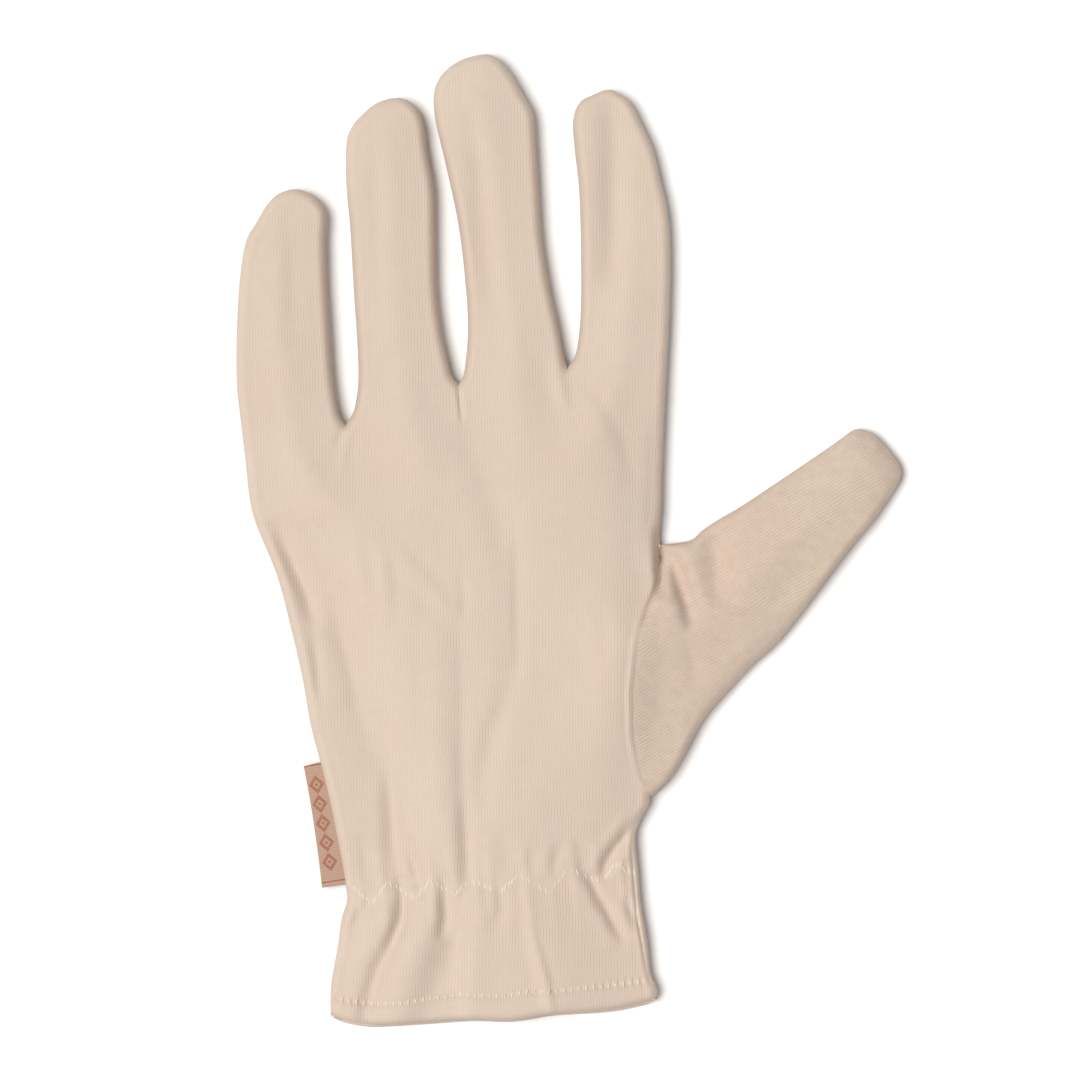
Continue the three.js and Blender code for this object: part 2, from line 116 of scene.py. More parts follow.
def unit(vectors: Array) -> Array:
    """Vectors made one long."""
    return vectors / np.maximum(np.linalg.norm(vectors, axis=-1, keepdims=True), 1e-9)


def bell(distance: Array, reach: Any) -> Array:
    """Fall from 1 to nearly 0 at twice the reach, on both sides."""
    return np.exp(-((distance / reach) ** 2))


class Line:
    """A smooth line in plan through a few points."""

    STEPS = 16  # straight steps between two of its points

    def __init__(self, points: Sequence[Point]) -> None:
        """Draw the line through the points.

        Args:
            points: some places in plan, which it passes in order.
        """
        knots = np.array(points, float)
        ends = np.vstack([2 * knots[0] - knots[1], knots, 2 * knots[-1] - knots[-2]])
        t = np.linspace(0, 1, self.STEPS, endpoint=False)[:, None]
        spans = [
            0.5 * (2 * b + (c - a) * t + (2 * a - 5 * b + 4 * c - d) * t**2 + (3 * b - a - 3 * c + d) * t**3)
            for a, b, c, d in zip(ends[:-3], ends[1:-2], ends[2:-1], ends[3:])
        ]
        self.path = np.vstack([*spans, knots[-1:]])
        lengths = np.hypot(*np.diff(self.path, axis=0).T)
        self.travelled = np.concatenate([[0.0], np.cumsum(lengths)])
        self.length = float(self.travelled[-1])

    def at(self, shares: Array) -> Array:
        """Places at shares of the line's length."""
        along = np.asarray(shares) * self.length
        return np.stack([np.interp(along, self.travelled, self.path[:, k]) for k in (0, 1)], axis=-1)

    def at_height(self, y: Array) -> Array:
        """Places at plan heights, for a line that runs down the glove."""
        x = np.interp(y, self.path[::-1, 1], self.path[::-1, 0])
        return np.stack([x, np.asarray(y, float)], axis=-1)

    def steps(self, spacing: float) -> tuple[Array, Array]:
        """Both ends of straight steps along the line."""
        places = self.at(np.linspace(0, 1, math.ceil(self.length / spacing) + 1))
        return places[:-1], places[1:]


class Finger:
    """One finger in plan: its outline, and where its rounded tip starts and ends as shares of the length."""

    TIP_REACH = 5.0  # how far the tip reaches along the outline, on both sides of its highest point

    def __init__(self, left: Sequence[Point], right: Sequence[Point], tip: Point) -> None:
        """Join both sides and the tip to one line from crotch to crotch.

        Args:
            left: places up the left side, from its crotch to just before the tip.
            right: places up the right side.
            tip: the tip's middle.
        """
        self.outline = Line((*left, tip, *reversed(right)))
        top, length = self.outline.path[:, 1].argmax(), self.outline.length
        middle, reach = self.outline.travelled[top] / length, self.TIP_REACH / length
        self.tip_start, self.tip_end = middle - reach, middle + reach

    def left(self, shares: Array) -> Array:
        """Places up the left side, from the crotch to where the tip starts."""
        return self.outline.at(shares * self.tip_start)

    def right(self, shares: Array) -> Array:
        """Places up the right side."""
        return self.outline.at(1 - shares * (1 - self.tip_end))

    def tip(self, shares: Array) -> Array:
        """Places round the tip, from left to right."""
        return self.outline.at(self.tip_start + shares * (self.tip_end - self.tip_start))


FINGERS = (  # from the little finger to the index finger
    Finger(
        left=((-62.8, 150), (-63.7, 158), (-63.9, 166), (-63.7, 175.6), (-62.9, 186.9), (-61.4, 195.4),
              (-58.9, 199.8), (-56.2, 204.3), (-53.2, 207.2)),
        right=((-36.4, 149.6), (-37.2, 150.6), (-38.2, 153.1), (-39.4, 160.6), (-40.1, 170), (-41, 184),
               (-41.3, 195.6), (-41, 200.6), (-41.8, 203.8), (-44.6, 206.8)),
        tip=(-48.9, 208.4),
    ),
    Finger(
        left=((-36.4, 149.6), (-35.4, 151.1), (-34.3, 153.6), (-33.4, 160.6), (-33.7, 170.6), (-34.6, 183.9),
              (-35.4, 198.1), (-36.4, 209.4), (-36.4, 219.4), (-35.2, 223.4), (-32.9, 226.4), (-28.4, 230)),
        right=((-8.2, 159.9), (-9.7, 161.6), (-10.6, 165), (-12.4, 173.1), (-13.6, 183), (-13.9, 195.6),
               (-14.2, 208.1), (-15.9, 218), (-16.9, 225.1), (-19, 229)),
        tip=(-22.8, 231.2),
    ),
    Finger(
        left=((-8.2, 159.9), (-7.2, 161.6), (-6.5, 166), (-6, 173.6), (-6.6, 184.4), (-8.4, 199.4),
              (-11.7, 214.9), (-14.2, 225.6), (-14.5, 232.4), (-12.4, 237), (-8, 240.4)),
        right=((19.1, 164.1), (18.3, 166.6), (16.8, 174.4), (14.6, 184.4), (12.8, 195.6), (12.1, 206),
               (11.3, 219.4), (10.6, 227.1), (8.3, 231.6), (5.3, 236.8), (2, 240.8)),
        tip=(-1.7, 242.1),
    ),
    Finger(
        left=((19.1, 164.1), (20.1, 165.4), (21.3, 168.6), (22.2, 178.1), (22.2, 193.1), (21.8, 207.6),
              (20.6, 219), (20.3, 225.6), (22, 230), (25.4, 231.9)),
        right=((44, 164.1), (44.6, 175.6), (44.9, 190), (44.4, 201.4), (42.4, 210.8), (40.5, 218.4),
               (37.6, 224.8), (35, 229.8), (32, 232.3)),
        tip=(29, 233.3),
    ),
)


@dataclass(frozen=True)
class Plan:
    """Outline of the glove's hand, thumb and cuff, from the fingers' roots down to the hem."""

    little_side: Line = Line((
        (-62.8, 150), (-61.6, 140), (-60.6, 131), (-58.9, 124.4), (-53.8, 112), (-50.4, 99.4),
        (-47.3, 86), (-45.3, 74.5), (-42.9, 65.4), (-40.4, 54.9), (-38.3, 44.5), (-36.7, 35.4), (-36.2, 30.6),
        (-37.6, 25.8), (-38.6, 18.6), (-40.1, 10.6), (-40.4, 5.6), (-40.3, 1.9),
    ))
    thumb_side: Line = Line((
        (44, 164.1), (43.4, 152.1), (42.8, 138.1), (42.6, 128.6), (42.1, 122.4), (42.3, 119.4), (41.9, 114.6),
        (40.6, 110), (38.6, 104), (36.6, 94), (35.4, 82.6), (35.6, 71.9), (37.2, 62.4), (39.8, 55.9),
        (37.9, 51.6), (36.3, 48.1), (36.1, 45), (36.8, 37.6), (37.4, 30.1), (39, 20.6), (39.9, 12.6),
        (41.2, 9.4), (41.7, 7.4), (41.2, 5.8),
    ))
    thumb_upper: Line = Line((
        (42.3, 119.4), (47.1, 119.9), (50.2, 120.7), (52.7, 123), (57.1, 125.9), (62.1, 128.8), (68.3, 132.9),
        (77.1, 138.8), (85, 144.2), (89.6, 147.6),
    ))
    thumb_lower: Line = Line((
        (39.8, 55.9), (44.6, 60.6), (47.9, 66), (52.7, 75), (58.4, 81.8), (64.8, 88.7), (71, 94.3),
        (77.1, 101.6), (83.4, 110), (90.4, 119.2), (95.8, 125.6), (99.6, 131.2),
    ))
    thumb_tip: Line = Line((
        (89.6, 147.6), (91.3, 148.3), (93.5, 148), (96.2, 146.6), (99.6, 142.9), (102.2, 139.2),
        (102.3, 135.8), (99.6, 131.2),
    ))
    hem: Line = Line((
        (-40.3, 1.9), (-36.2, 0.5), (-31, -0.4), (-25, -0.3), (-15.4, 0.3), (-5, 1), (4, 0.8),
        (9.6, 1.4), (15.8, 2.4), (28.3, 3.2), (35, 4.3), (41.2, 5.8),
    ))
    crotch: float = 119.4  # where the thumb's seam starts on the thumb's side, and where it ends
    heel: float = 55.9
    left_crotch: float = 123.0
    left_heel: float = 57.0
    elastic: tuple[Point, Point] = ((37.3, 32.3), (40.3, 35.5))  # its edges on the little and the thumb side


PLAN = Plan()
ROOT_HEIGHTS = (PLAN.little_side.path[0, 1], PLAN.thumb_side.path[0, 1])
HEM_HEIGHTS = (PLAN.little_side.path[-1, 1], PLAN.thumb_side.path[-1, 1])
# the hem's row of stitches and the corners of the zigzag on the elastic, in plan
HEM_ROW = np.array([
    (-39.2, 6.2), (-31.2, 4.9), (-22.9, 5.1), (-15.4, 6.3), (-7.2, 7.3), (-3.7, 7), (2.8, 7), (7.8, 8),
    (15.8, 8.1), (25.1, 9.1), (37.8, 10.4), (40.4, 10.8),
])
ZIGZAG = (
    (-36, 35.6), (-29.9, 30), (-25.9, 35.6), (-19.2, 31.1), (-15.4, 35.6), (-9.2, 32.1), (-5.4, 36),
    (2.3, 33), (6.6, 37.2), (14.6, 32.8), (18.8, 38.7), (27.8, 35.1), (30.6, 40.1), (36.1, 37),
)


@dataclass(frozen=True)
class Fold:
    """A crease of the cloth along a line.

    Attributes:
        line: its points in plan.
        depth: how deep it is.
        width: its half width.
        heap: share of the depth that is heaped up on both sides.
        step: how much higher the cloth lies on the left of the line than on its right.
    """

    line: tuple[Point, ...]
    depth: float
    width: float
    heap: float = 0.3
    step: float = 0.0

    def relief(self, places: Array) -> Array:
        """Work out what the fold does to the cloth; it fades out towards both of its ends.

        Args:
            places: points in plan, one a row.

        Returns:
            How far the cloth is lifted at each place.
        """
        path = np.array(self.line, float)
        distance, side, along = nearest(places, path[:-1], path[1:])
        fade = np.sin(math.pi * np.clip(along, 0.0, 1.0)) ** 0.6
        # a valley, a bank on each side at twice its half width, and a step that dies away further out
        reach = distance / self.width
        valley = -self.depth * bell(reach, 1.0)
        banks = self.depth * self.heap * bell(reach - 2.0, 1.0)
        slope = self.step / 2 * np.tanh(side * reach / 0.8) * bell(reach, 3.2)
        return fade * (valley + banks + slope)


FOLDS = (
    # puckers that run down from the fingers' crotches
    Fold(((-8.3, 160.6), (-8, 157), (-7.5, 153), (-7.3, 149.6)), 0.8, 0.62, 0.1),
    Fold(((15.6, 167), (17, 160), (18.6, 152)), -0.6, 1.6, 0.1),
    Fold(((-36.2, 149.8), (-37.4, 147), (-38.6, 143.6)), 0.35, 1.1, 0.1),
    Fold(((-34.8, 149.4), (-36.6, 143), (-37.6, 136)), -0.2, 1.2),
    Fold(((20, 161.6), (26.6, 155.8), (31.8, 147), (35.2, 134)), 0.35, 1.9, 0, -0.45),
    # soft lengthwise troughs of the fingers
    Fold(((29.2, 233), (30.2, 217), (30.5, 202), (30, 182)), 1.7, 3.6, 0, -1.8),
    Fold(((26.4, 236), (27.4, 216), (27.6, 200), (27, 168)), 0.7, 4.6, 0, -0.6),
    Fold(((-6, 230), (-3.6, 214), (-2.4, 196), (0.6, 174)), 0.9, 3, 0, -1.2),
    Fold(((-29, 222), (-29.2, 204), (-28.6, 184)), 0.4, 2.4, 0, -0.5),
    Fold(((-50.6, 206), (-50.2, 188), (-51, 166)), 0.4, 2.4, 0, -0.5),
    # long shallow folds of the hand, and the short wrinkles between them
    Fold(((-54.2, 126), (-50.2, 116), (-46.8, 108), (-44, 98)), 2, 2.1, 0.05, -0.8),
    Fold(((-45.2, 99), (-43.8, 91), (-42.8, 81)), 0.8, 1.4, 0.05, -0.5),
    Fold(((-40.4, 106), (-38, 97), (-35.6, 88), (-33.6, 78)), 0.6, 2.2, 0, -0.8),
    Fold(((-35.2, 84), (-32, 72), (-28.4, 62)), 0.3, 2.6, 0, -0.6),
    Fold(((-45, 126), (-38, 102), (-31.6, 80), (-27.4, 60), (-25, 28)), 2.4, 7.4, 0, -0.6),
    Fold(((-8, 153), (-3.6, 140), (1.2, 127), (4.8, 115), (6.2, 102), (6.2, 88)), 0.8, 4.2, 0, -0.6),
    Fold(((6, 127), (6.1, 112), (6.1, 100), (6.4, 86)), 0.4, 0.85, 0.1, -0.25),
    Fold(((6.4, 95), (3.4, 81), (-0.2, 71.4), (-2.4, 60), (-2.2, 48)), 0.8, 2.8, 0.1, -0.4),
    Fold(((-8.6, 101), (-7.8, 84), (-7.6, 68), (-7.9, 55)), 0.25, 1.6, 0, -0.5),
    Fold(((-14.4, 106), (-13.6, 86), (-13.4, 66), (-11.6, 44)), -0.7, 3.6, 0),
    Fold(((-26.4, 121), (-20.4, 114), (-14.4, 108), (-8.6, 101)), -0.4, 1.7, 0.3),
    Fold(((-31.4, 122), (-29.6, 113), (-28.4, 103)), 0.35, 1.6),
    Fold(((-25.2, 120), (-23.8, 110), (-23.4, 97)), 0.35, 1.8),
    Fold(((-8.4, 113), (-6.9, 107.4), (-6.6, 101)), 0.35, 1.3, 0.1, -0.2),
    Fold(((27.6, 104), (28.6, 97), (26.8, 90)), 0.2, 1.8),
    Fold(((24, 165), (29, 138), (31, 114), (31, 92), (30, 72), (27, 52), (22, 32)), -1.7, 8, 0),
    # creases that run into the elastic from above
    Fold(((-27.4, 88), (-26.2, 70), (-25.2, 54), (-24.4, 43), (-22, 33)), 0.8, 2.8, 0, -0.6),
    Fold(((-25.4, 64), (-25, 54), (-24.6, 45), (-23.4, 38.4), (-22, 33)), 1.1, 2.3, 0, -0.8),
    Fold(((-21.4, 47.6), (-19.6, 41), (-18.3, 36.6), (-17.6, 31)), 1.4, 1.45, 0.15, -0.5),
    Fold(((-8.2, 76), (-7.6, 62), (-6.8, 48), (-5.8, 32)), 0.6, 2.2, 0, -0.5),
    Fold(((-7.2, 57), (-6.6, 47), (-6.1, 40), (-5.8, 31)), 0.9, 1.7, 0, -0.8),
    Fold(((37.4, 51.2), (35.6, 49.4), (33.2, 46.4), (30.6, 43), (28.8, 40), (26.8, 35.4)), 1.7, 1.5, 0.25),
    Fold(((-32.4, 47), (-31.6, 41), (-31.4, 35)), 0.4, 1.7),
    Fold(((-13.2, 44), (-12.5, 37.6)), 0.25, 1.4),
    Fold(((2, 48), (4, 42), (3.4, 36.6)), 0.45, 1.7),
    Fold(((10.8, 44), (9.6, 37.6)), 0.25, 1.3),
    Fold(((17.2, 45.6), (15.8, 40), (14.4, 34.6)), 0.4, 1.3),
    Fold(((21.6, 47), (22.6, 42), (22.2, 38)), 0.25, 1.4),
    # creases of the cuff below it
    Fold(((-35.4, 22), (-32.2, 27), (-29.2, 31.8)), 0.7, 1.5),
    Fold(((-25.8, 35), (-26.8, 28), (-30.2, 21), (-34.6, 13)), -0.4, 2.2, 0),
    Fold(((-22.4, 37), (-22.1, 31), (-22.5, 26), (-25.3, 19.3), (-28.6, 13.4), (-31.2, 5),
         (-33, -6)), 1.8, 2.2, 0, -1.6),
    Fold(((-22.8, 37), (-22.4, 31), (-23, 25), (-26.4, 18)), 1.2, 1.6, 0, -0.9),
    Fold(((-12, 38), (-11.7, 31.4), (-11.5, 26.6), (-12.8, 20.6)), 1.7, 1.4, 0.1, -0.8),
    Fold(((-9.4, 33), (-11.8, 19.3), (-15.6, 9), (-21, -8)), 2.2, 5.2, 0, -3.6),
    Fold(((-6.8, 36), (-6.6, 26), (-6.8, 14), (-7.4, -4)), 0, 1.9, 0, 2.3),
    Fold(((2, 34.4), (2.4, 28.4), (0.6, 22)), 0.5, 1.7),
    Fold(((7.4, 36), (8.8, 27.6), (10.6, 19.4), (12.8, 11), (15.6, -2)), -0.6, 1.3, 0, 1.3),
    Fold(((9.8, 27), (12, 19), (14.2, 12), (17.2, -1)), 0.25, 0.8, 0, -0.8),
    Fold(((21.8, 40.4), (23.6, 37), (26, 33), (28, 29), (30, 25.4), (33.2, 19.8)), 1.3, 1.45, 0.05, -1.1),
    Fold(((33.4, 31.6), (35, 27.8), (36.8, 23.6)), 0.9, 1.3),
    # the thumb's seam: the hand's edge overhangs it at the crotch, and lower down its cloth rolls a little
    # over the thumb's
    Fold(((42.5, 123), (42.4, 119), (42, 115.6), (41.2, 111.6)), 1.6, 0.9, 0, -0.8),
    Fold(((37.4, 99), (36.6, 94), (35.4, 82.6), (35.6, 71.9), (37.2, 62.4), (39.6, 56.4)),
         0.12, 0.6, 0.4, -0.16),
    Fold(((37, 103), (35.2, 94), (34.1, 82.6), (34.3, 71.9), (36, 62.4)), -0.28, 0.6),
    Fold(((41.8, 124), (42, 117), (42.3, 112.5), (42.4, 106)), 3.8, 1.4, 0, -1.2),
    Fold(((43.6, 121), (45.5, 114), (47.3, 109), (49, 104), (50.2, 98)), 3.4, 2.1, 0.05, -1.4),
    Fold(((42.6, 112.6), (41, 108), (39.2, 103.6), (37.6, 98.6)), 0.7, 0.8, 0.1, -0.3),
    Fold(((54.6, 125.6), (55.6, 118.6), (56.2, 112.4), (57, 103)), 2.4, 3.8, 0, -1.1),
    Fold(((42.6, 96), (42, 88), (41.6, 80), (42, 72)), 0.12, 1.6, 0.1),
    Fold(((48.6, 97), (50.6, 90), (51, 83)), 0.3, 1.6),
    Fold(((36.8, 62.6), (39.4, 60.2), (42, 60.6)), 0.4, 0.8),
    # the thumb's flattened tip
    Fold(((80, 151), (90, 150.6), (98, 147), (103.4, 140), (103, 134), (97, 125)), 3, 4.2, 0),
    Fold(((66, 129), (76, 135), (88, 143)), 0.5, 3.2, 0),
    Fold(((50, 71), (60, 83), (71, 93.6), (83, 108)), 2.2, 3.2, 0),
    Fold(((66, 101), (73, 107), (80, 116)), 0.4, 3, 0),
    # the rolled side of the hand above the crotch
    Fold(((42, 154), (41.2, 138), (41, 128), (41.2, 114)), 0.8, 2.2, 0),
    # the palm's cloth rolls up over the cuff's edge, which leaves a line beside it
    Fold(((36, 50), (34.9, 44), (35.6, 36), (36.2, 28), (37.9, 18), (39, 11)), 0.9, 0.45, 0),
)


def nearest(places: Array, starts: Array, ends: Array, batch: int = 4000) -> Array:
    """Measure places against a chain of straight steps.

    Args:
        places: points in plan, one a row.
        starts: where the steps start.
        ends: where they end.
        batch: how many places are measured at once.

    Returns:
        Three rows: distance to the chain, side of it (1 on the left, -1 on the right) and share along it.
    """
    ways = ends - starts
    lengths = np.hypot(ways[:, 0], ways[:, 1])
    done = np.concatenate([[0.0], np.cumsum(lengths)])
    results = []
    for first in range(0, len(places), batch):
        gap = places[first : first + batch, None, :] - starts[None]
        share = np.clip((gap * ways).sum(-1) / lengths**2, 0, 1)
        off = gap - share[..., None] * ways
        distance = np.hypot(off[..., 0], off[..., 1])
        best = distance.argmin(1)
        row = np.arange(len(gap))
        turn = ways[best, 0] * gap[row, best, 1] - ways[best, 1] * gap[row, best, 0]
        along = (done[best] + share[row, best] * lengths[best]) / done[-1]
        results.append((distance[row, best], np.where(turn >= 0, 1.0, -1.0), along))
    return np.hstack(results)


def hem_lines(x: Array) -> tuple[Array, Array]:
    """Plan heights of the hem's edge and of its row of stitches."""
    return np.interp(x, *PLAN.hem.path.T), np.interp(x, *HEM_ROW.T)


@dataclass
class Relief:
    """Heights of the lying glove's outer cloth over its plan."""

    seam_height: float = 3.6
    edge_radius: float = 2.9  # how far in the back's rolled edge reaches, and the palm's
    palm_radius: float = 4.0
    edge_rise: float = 4.2  # how high the back's rises
    fullness: float = 3.9  # what the hand swells by further in
    fullness_reach: float = 27.0
    smooth_from: tuple[float, float] = (1.4, 4.6)  # distances between which the smoothed swell takes over
    cuff_loss: float = 1.6
    cuff_reach: float = 32.0
    wrist_pinch: float = 1.0
    wrist_reach: float = 9.0
    gather: float = 0.2  # half the height of the small gathers between the creases
    gather_pitch: float = 5.2
    unevenness: float = 0.22  # of the whole sheet, where nothing pulls it
    hem_layer: float = 0.4  # what the turned-in layer adds
    hem_fall: float = 3.2
    hem_radius: float = 2.2
    stitch_pull: Point = (0.1, 0.6)  # depth of the hem's row between its stitches, and more at them
    palm_lift: float = 0.35  # of the palm's gathers, and of the rest of it
    palm_waves: float = 0.06
    corner: Point = (-68.0, -4.0)  # of the grid on which the swell of the fingers and the hand is smoothed
    size: tuple[int, int] = (218, 318)
    cell: float = 0.8
    blur: float = 1.6
    outline: tuple[Array, Array] = field(init=False)
    swell: Array = field(init=False)

    def __post_init__(self) -> None:
        """Gather the closed outline and smooth the swell over it."""
        chains = [finger.outline.steps(1.0) for finger in FINGERS]
        others = (PLAN.thumb_upper, PLAN.thumb_tip, PLAN.thumb_lower, PLAN.little_side)
        chains += [line.steps(1.5) for line in others]
        starts, ends = PLAN.thumb_side.steps(1.5)
        middle = (starts[:, 1] + ends[:, 1]) / 2
        outer = (middle > PLAN.crotch) | (middle < PLAN.heel)
        chains.append((starts[outer], ends[outer]))
        self.outline = tuple(np.vstack(part) for part in zip(*chains))
        x, y = (corner + self.cell * np.arange(count) for corner, count in zip(self.corner, self.size))
        distance = self.inland(np.stack(np.meshgrid(x, y), axis=-1).reshape(-1, 2))
        self.swell = self.blurred(self.raw_swell(distance).reshape(self.size[::-1]))

    def inland(self, places: Array) -> Array:
        """Distance of places from the outline."""
        return nearest(places, *self.outline)[0]

    def raw_swell(self, distance: Array) -> Array:
        """How far the back rises above the seam at a distance from the outline."""
        full = smoothstep(distance, self.edge_radius, self.fullness_reach) * self.fullness
        return quarter_round(distance, self.edge_radius) * self.edge_rise + full

    def blurred(self, heights: Array) -> Array:
        """Smooth a grid of heights with a bell of the blur's width.

        Args:
            heights: one for each cell.

        Returns:
            The smoothed grid.
        """
        reach = math.ceil(2.5 * self.blur / self.cell)
        weights = bell(np.arange(-reach, reach + 1) * self.cell, self.blur * math.sqrt(2))
        weights /= weights.sum()
        for axis in (0, 1):
            padded = np.pad(heights, [(reach, reach) if k == axis else (0, 0) for k in (0, 1)], mode="edge")
            starts, size = range(2 * reach + 1), heights.shape[axis]
            spans = [np.take(padded, range(start, start + size), axis=axis) for start in starts]
            heights = sum(weight * span for weight, span in zip(weights, spans))
        return heights

    def smoothed(self, places: Array) -> Array:
        """Look up the smoothed swell, straight between the grid's points.

        Args:
            places: points in plan, one a row.

        Returns:
            The swell at each place.
        """
        x, y = (np.clip((places[:, k] - self.corner[k]) / self.cell, 0, self.size[k] - 1.001) for k in (0, 1))
        i, j = x.astype(int), y.astype(int)
        low, high = (blend(self.swell[row, i], self.swell[row, i + 1], x - i) for row in (j, j + 1))
        return blend(low, high, y - j)

    def over_elastic(self, places: Array) -> tuple[Array, Array]:
        """Measure places against the elastic.

        Args:
            places: points in plan, one a row.

        Returns:
            How far each lies above the elastic's middle, and its share of the way across the wrist.
        """
        heights = [sum(pair) / 2 for pair in PLAN.elastic]
        left, right = (line.at_height(y)[0] for line, y in zip((PLAN.little_side, PLAN.thumb_side), heights))
        across = (places[:, 0] - left) / (right - left)
        return places[:, 1] - (heights[0] + (heights[1] - heights[0]) * across), across

    def gathers(self, places: Array) -> Array:
        """Draw the wave of small gathers at the elastic, which dies away from it.

        Args:
            places: points in plan, one a row.

        Returns:
            The wave at each place, from -1 to 1.
        """
        along, across = self.over_elastic(places)
        x = places[:, 0] + 0.12 * along
        # gathers of uneven width, with smaller ones among them
        wide = np.cos(2 * math.pi * x / self.gather_pitch + 1.7 * np.sin(x / 6.1))
        wave = wide + 0.5 * np.cos(x * 2.1 + 0.6)
        reach = np.where(along > 0, 0.8, 1.3) * self.wrist_reach
        return wave / 1.5 * bell(along, reach) * smoothstep(across * (1 - across), 0.0, 0.06)

    def uneven(self, places: Array) -> Array:
        """Draw low lengthwise waves of slack cloth.

        Args:
            places: points in plan, one a row.

        Returns:
            Their sum at each place, from about -1 to 1.
        """
        x, y = places[:, 0], places[:, 1]
        waves = (
            np.sin(x / 4.3 + 1.3 * np.sin(y / 31.0) + 0.4)
            + 0.8 * np.sin(x / 7.9 - y / 43.0 + 2.1)
            + 0.7 * np.sin(y / 15.7 + 0.8 * np.sin(x / 11.0) + 1.0)
            + 0.5 * np.sin((x + y) / 9.3 + 0.3)
        )
        return waves / 2.4

    def unrolled(self, inland: Array, on_back: bool) -> Array:
        """Work out how much more cloth than plan there is towards the rounded sides.

        Args:
            inland: distances from the outline.
            on_back: True for the back, False for the palm.

        Returns:
            The extra cloth between each distance and where the side starts to round.
        """
        radius, rise = (self.edge_radius, self.edge_rise) if on_back else (self.palm_radius, self.seam_height)
        angles = np.linspace(0, math.pi / 2, 200)
        x, y = radius * (1 - np.cos(angles)), rise * np.sin(angles)
        arc = np.concatenate([[0.0], np.cumsum(np.hypot(np.diff(x), np.diff(y)))])
        return np.interp(inland, x, (arc[-1] - arc) - (radius - x), right=0.0)

    def back(self, places: Array, distance: Array | None = None) -> Array:
        """Work out the height of the back's outer side.

        Args:
            places: points in plan, one a row.
            distance: their distances from the outline, where they are known.

        Returns:
            The height at each place.
        """
        distance = self.inland(places) if distance is None else distance
        further_in = smoothstep(distance, *self.smooth_from)
        swell = blend(self.raw_swell(distance), self.smoothed(places), further_in)
        along = self.over_elastic(places)[0]
        pinch = self.wrist_pinch * bell(along, self.wrist_reach)
        cuff = smoothstep(-along, 0.0, self.cuff_reach) * self.cuff_loss
        waves = self.gather * self.gathers(places) + self.unevenness * self.uneven(places)
        folds = sum(fold.relief(places) for fold in FOLDS)
        edge = quarter_round(distance, self.edge_radius)
        return self.seam_height + swell + edge * (waves + folds - pinch - cuff + self.hem_relief(places))

    def hem_relief(self, places: Array) -> Array:
        """Draw the turned-up hem: a low step at its row of stitches, and the rounded edge.

        Args:
            places: points in plan, one a row.

        Returns:
            How far the hem lifts the cloth at each place.
        """
        edge, row = hem_lines(places[:, 0])
        above, row = places[:, 1] - edge, row - edge
        thick = self.hem_layer * smoothstep(row - above, -0.3, 1.2)
        pulled = 0.5 - 0.5 * np.cos(2 * math.pi * (places[:, 0] - HEM_ROW[0, 0]) / HEM_TICK)
        between, more = self.stitch_pull
        sewn = (between + more * pulled) * bell(above - row, 0.8)
        return thick - sewn - self.hem_fall * (1 - quarter_round(above, self.hem_radius))

    def palm(self, places: Array, distance: Array | None = None) -> Array:
        """Work out the height of the palm's outer side, which lies flat but for its edge and the gathers.

        Args:
            places: points in plan, one a row.
            distance: their distances from the outline, where they are known.

        Returns:
            The height at each place.
        """
        distance = self.inland(places) if distance is None else distance
        edge = quarter_round(distance, self.palm_radius)
        lift = self.palm_lift * (1 - self.gathers(places)) * bell(self.over_elastic(places)[0], 7.0)
        loose = self.palm_waves * (1 + self.uneven(places))
        return blend(self.seam_height, lift + loose, edge)


RELIEF = Relief()


def grid_quads(number: Array) -> Array:
    """Quads between the rows and columns of a grid of point numbers."""
    corners = (number[:-1, :-1], number[:-1, 1:], number[1:, 1:], number[1:, :-1])
    return np.stack(corners, axis=-1).reshape(-1, 4)


